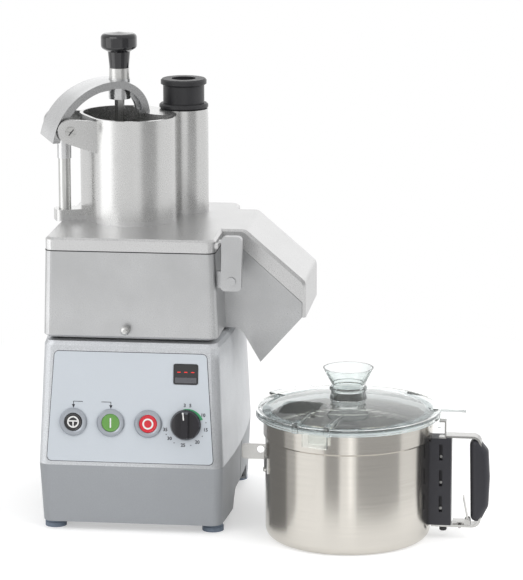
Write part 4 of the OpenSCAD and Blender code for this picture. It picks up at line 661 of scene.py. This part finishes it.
def makePinSlotShade(slot):
    along = Vector(slot["along"]).normalized()
    side = Vector((0, 0, 1)).cross(along)
    axes = Matrix((side, along.cross(side), along)).transposed().to_4x4()
    turn = Matrix.Rotation(math.radians(slot["turn"]), 4, "Z")
    half, wide = slot["half"], slot["wide"] / 2
    groove = plateMesh(roundedLine(-half, -wide, half, wide, wide * slot["round"]), *slot["rise"])
    makePiece("pinSlotShade", "head", "paintedShadeBlack", [groove],
              Matrix.Translation(machineAt(*slot["front"])) @ axes @ turn)


makePinSlotShade(pinSlotShade)

# Black strip in the seam under the lid: painted shade of the gap
lidSeam = {"halfWide": 113.5, "front": -142.0, "corner": 11.0, "steps": 10, "leftEnd": 128.0,
           "rightEnd": -66.0, "low": 380.8, "high": 382.05, "proud": 0.35, "sunk": 0.7}


def seamLine(s, out):
    wide, front, corner = s["halfWide"] + out, s["front"] - out, s["corner"] + out
    left = arcLine(corner - wide, front + corner, corner, 180, 270, s["steps"])
    right = arcLine(wide - corner, front + corner, corner, 270, 360, s["steps"])
    return [(-wide, s["leftEnd"])] + left + right + [(wide, s["rightEnd"])]


def makeSeam(s):
    strip = stripMesh(seamLine(s, -s["sunk"]), seamLine(s, s["proud"]), s["low"], s["high"])
    makePiece("lidSeamShade", "attachment", "paintedShadeBlack", [strip], machinePlace)


makeSeam(lidSeam)
# The black strips laid here paint the shade in the base's gap, the pin's slot and the lid's seam
print("stage 5: gasket, pin's slot and lid's seal laid")

# From here on lengths are in metres; a lamp that isn't mirrored shows in no reflection
lamps = {
    "key": {"from": (-2.4, -3.2, 2.7), "size": (3.4, 3.4), "power": 74, "mirrored": True},
    "fill": {"from": (3.2, -1.6, 1.9), "size": (3.6, 3.4), "power": 108, "mirrored": False},
    "top": {"from": (0.2, 0.5, 3.4), "size": (4.6, 3.8), "power": 66, "mirrored": False},
}
lampAim = Vector((0, 0, 0.3))


def makeLamps(group):
    for name, lamp in group.items():
        data = bpy.data.lights.new(name, "AREA")
        data.shape, data.energy = "RECTANGLE", lamp["power"]
        data.size, data.size_y = lamp["size"]
        light = bpy.data.objects.new(name, data)
        bpy.context.scene.collection.objects.link(light)
        light.location = lamp["from"]
        light.rotation_euler = (lampAim - light.location).to_track_quat("-Z", "Y").to_euler()
        light.visible_camera = False
        light.visible_glossy = lamp["mirrored"]


makeLamps(lamps)

# Plain white surround; the floor keeps the shadow near the object and is plain white further out
surround = {"light": 0.60, "seen": 1.0, "floor": 0.70, "lift": 0.42, "near": 0.35, "far": 1.1,
            "reach": 30.0}
shownRays = ("Is Camera Ray", "Is Glossy Ray", "Is Transmission Ray")


def makeSheet(name, corners, material):
    mesh = bpy.data.meshes.new(name)
    mesh.from_pydata(corners, [], [(0, 1, 2, 3)])
    mesh.materials.append(material)
    sheet = bpy.data.objects.new(name, mesh)
    bpy.context.scene.collection.objects.link(sheet)
    return sheet


def makeSky(s):
    world = bpy.data.worlds.new("surround")
    bpy.context.scene.world = world
    sky = Finish(world)
    level = sky.anyRay(*shownRays) * (s["seen"] - s["light"]) + s["light"]
    back = sky.add("ShaderNodeBackground", {}, {"Strength": level})
    sky.close(back, "ShaderNodeOutputWorld")


def makeFloor(s):
    finish = newFinish("floorWhite")
    shown = finish.anyRay(*shownRays)
    away = finish.add("ShaderNodeVectorMath", {"operation": "LENGTH"}, {0: finish.at()}, "Value")
    clear = finish.add("ShaderNodeMapRange", {}, {
        "Value": away, "From Min": s["near"], "From Max": s["far"]})
    base = finish.add("ShaderNodeBsdfDiffuse", {}, {
        "Color": (s["floor"], s["floor"], s["floor"], 1)})
    glow = finish.add("ShaderNodeEmission", {}, {"Strength": shown * s["lift"]})
    shaded = finish.add("ShaderNodeAddShader", {}, {0: base, 1: glow})
    plain = finish.add("ShaderNodeEmission", {}, {
        "Strength": shown * (s["seen"] - s["light"]) + s["light"]})
    both = finish.add("ShaderNodeMixShader", {}, {0: clear, 1: shaded, 2: plain})
    r = s["reach"]
    floor = makeSheet("floor", [(-r, -r, 0), (r, -r, 0), (r, r, 0), (-r, r, 0)],
                      finish.close(both))


makeSky(surround)
makeFloor(surround)

# Studio screens that only reflections show: ends on plan, heights of both edges and a level
screens = {
    "softFront": {"ends": ((-0.62, -0.70), (-0.02, -0.78)), "rise": (0.22, 1.0), "level": 0.92},
    "brightMiddle": {"ends": ((-0.22, -0.86), (-0.07, -0.88)), "rise": (0.30, 1.1), "level": 1.9},
    "sideGrey": {"ends": ((0.30, -0.80), (0.85, -0.30)), "rise": (0.22, 0.9), "level": 0.42},
    "brightLeft": {"ends": ((-0.95, -0.10), (-0.72, -0.55)), "rise": (0.0, 1.0), "level": 1.9},
    "brightBack": {"ends": ((-0.9, 1.25), (1.2, 1.25)), "rise": (0.35, 1.1), "level": 1.35},
    "bowlDarkLeft": {"ends": ((-0.022, -0.08), (-0.03, -0.17)), "rise": (0.0, 0.24), "level": 0.22},
    "bowlLeft": {"ends": ((-0.12, -0.24), (-0.03, -0.34)), "rise": (0.0, 0.17), "level": 1.2},
    "bowlLeftEdge": {"ends": ((-0.04, -0.17), (-0.12, -0.24)), "rise": (0.0, 0.17), "level": 0.55},
    "bowlDark": {"ends": ((-0.003, -0.40), (0.10, -0.40)), "rise": (0.0, 0.17), "level": 0.42},
    "bowlMiddle": {"ends": ((0.156, -0.40), (0.182, -0.40)), "rise": (0.0, 0.24), "level": 1.7},
    "bowlRight": {"ends": ((0.200, -0.38), (0.41, -0.20)), "rise": (0.0, 0.17), "level": 0.52},
    "bowlFarRight": {"ends": ((0.41, -0.20), (0.46, 0.05)), "rise": (0.0, 0.17), "level": 1.0},
}
hiddenRays = ("camera", "diffuse", "transmission", "volume_scatter", "shadow")


def makeScreens(group):
    for name, s in group.items():
        (x0, y0), (x1, y1) = s["ends"]
        low, high = s["rise"]
        finish = newFinish(name)
        glow = finish.add("ShaderNodeEmission", {}, {"Strength": s["level"]})
        corners = [(x0, y0, low), (x1, y1, low), (x1, y1, high), (x0, y0, high)]
        screen = makeSheet(name, corners, finish.close(glow))
        for ray in hiddenRays:
            setattr(screen, "visible_" + ray, False)


makeScreens(screens)
bpy.context.scene.view_settings.view_transform = "Standard"
print("stage 6: lamps and surround set")
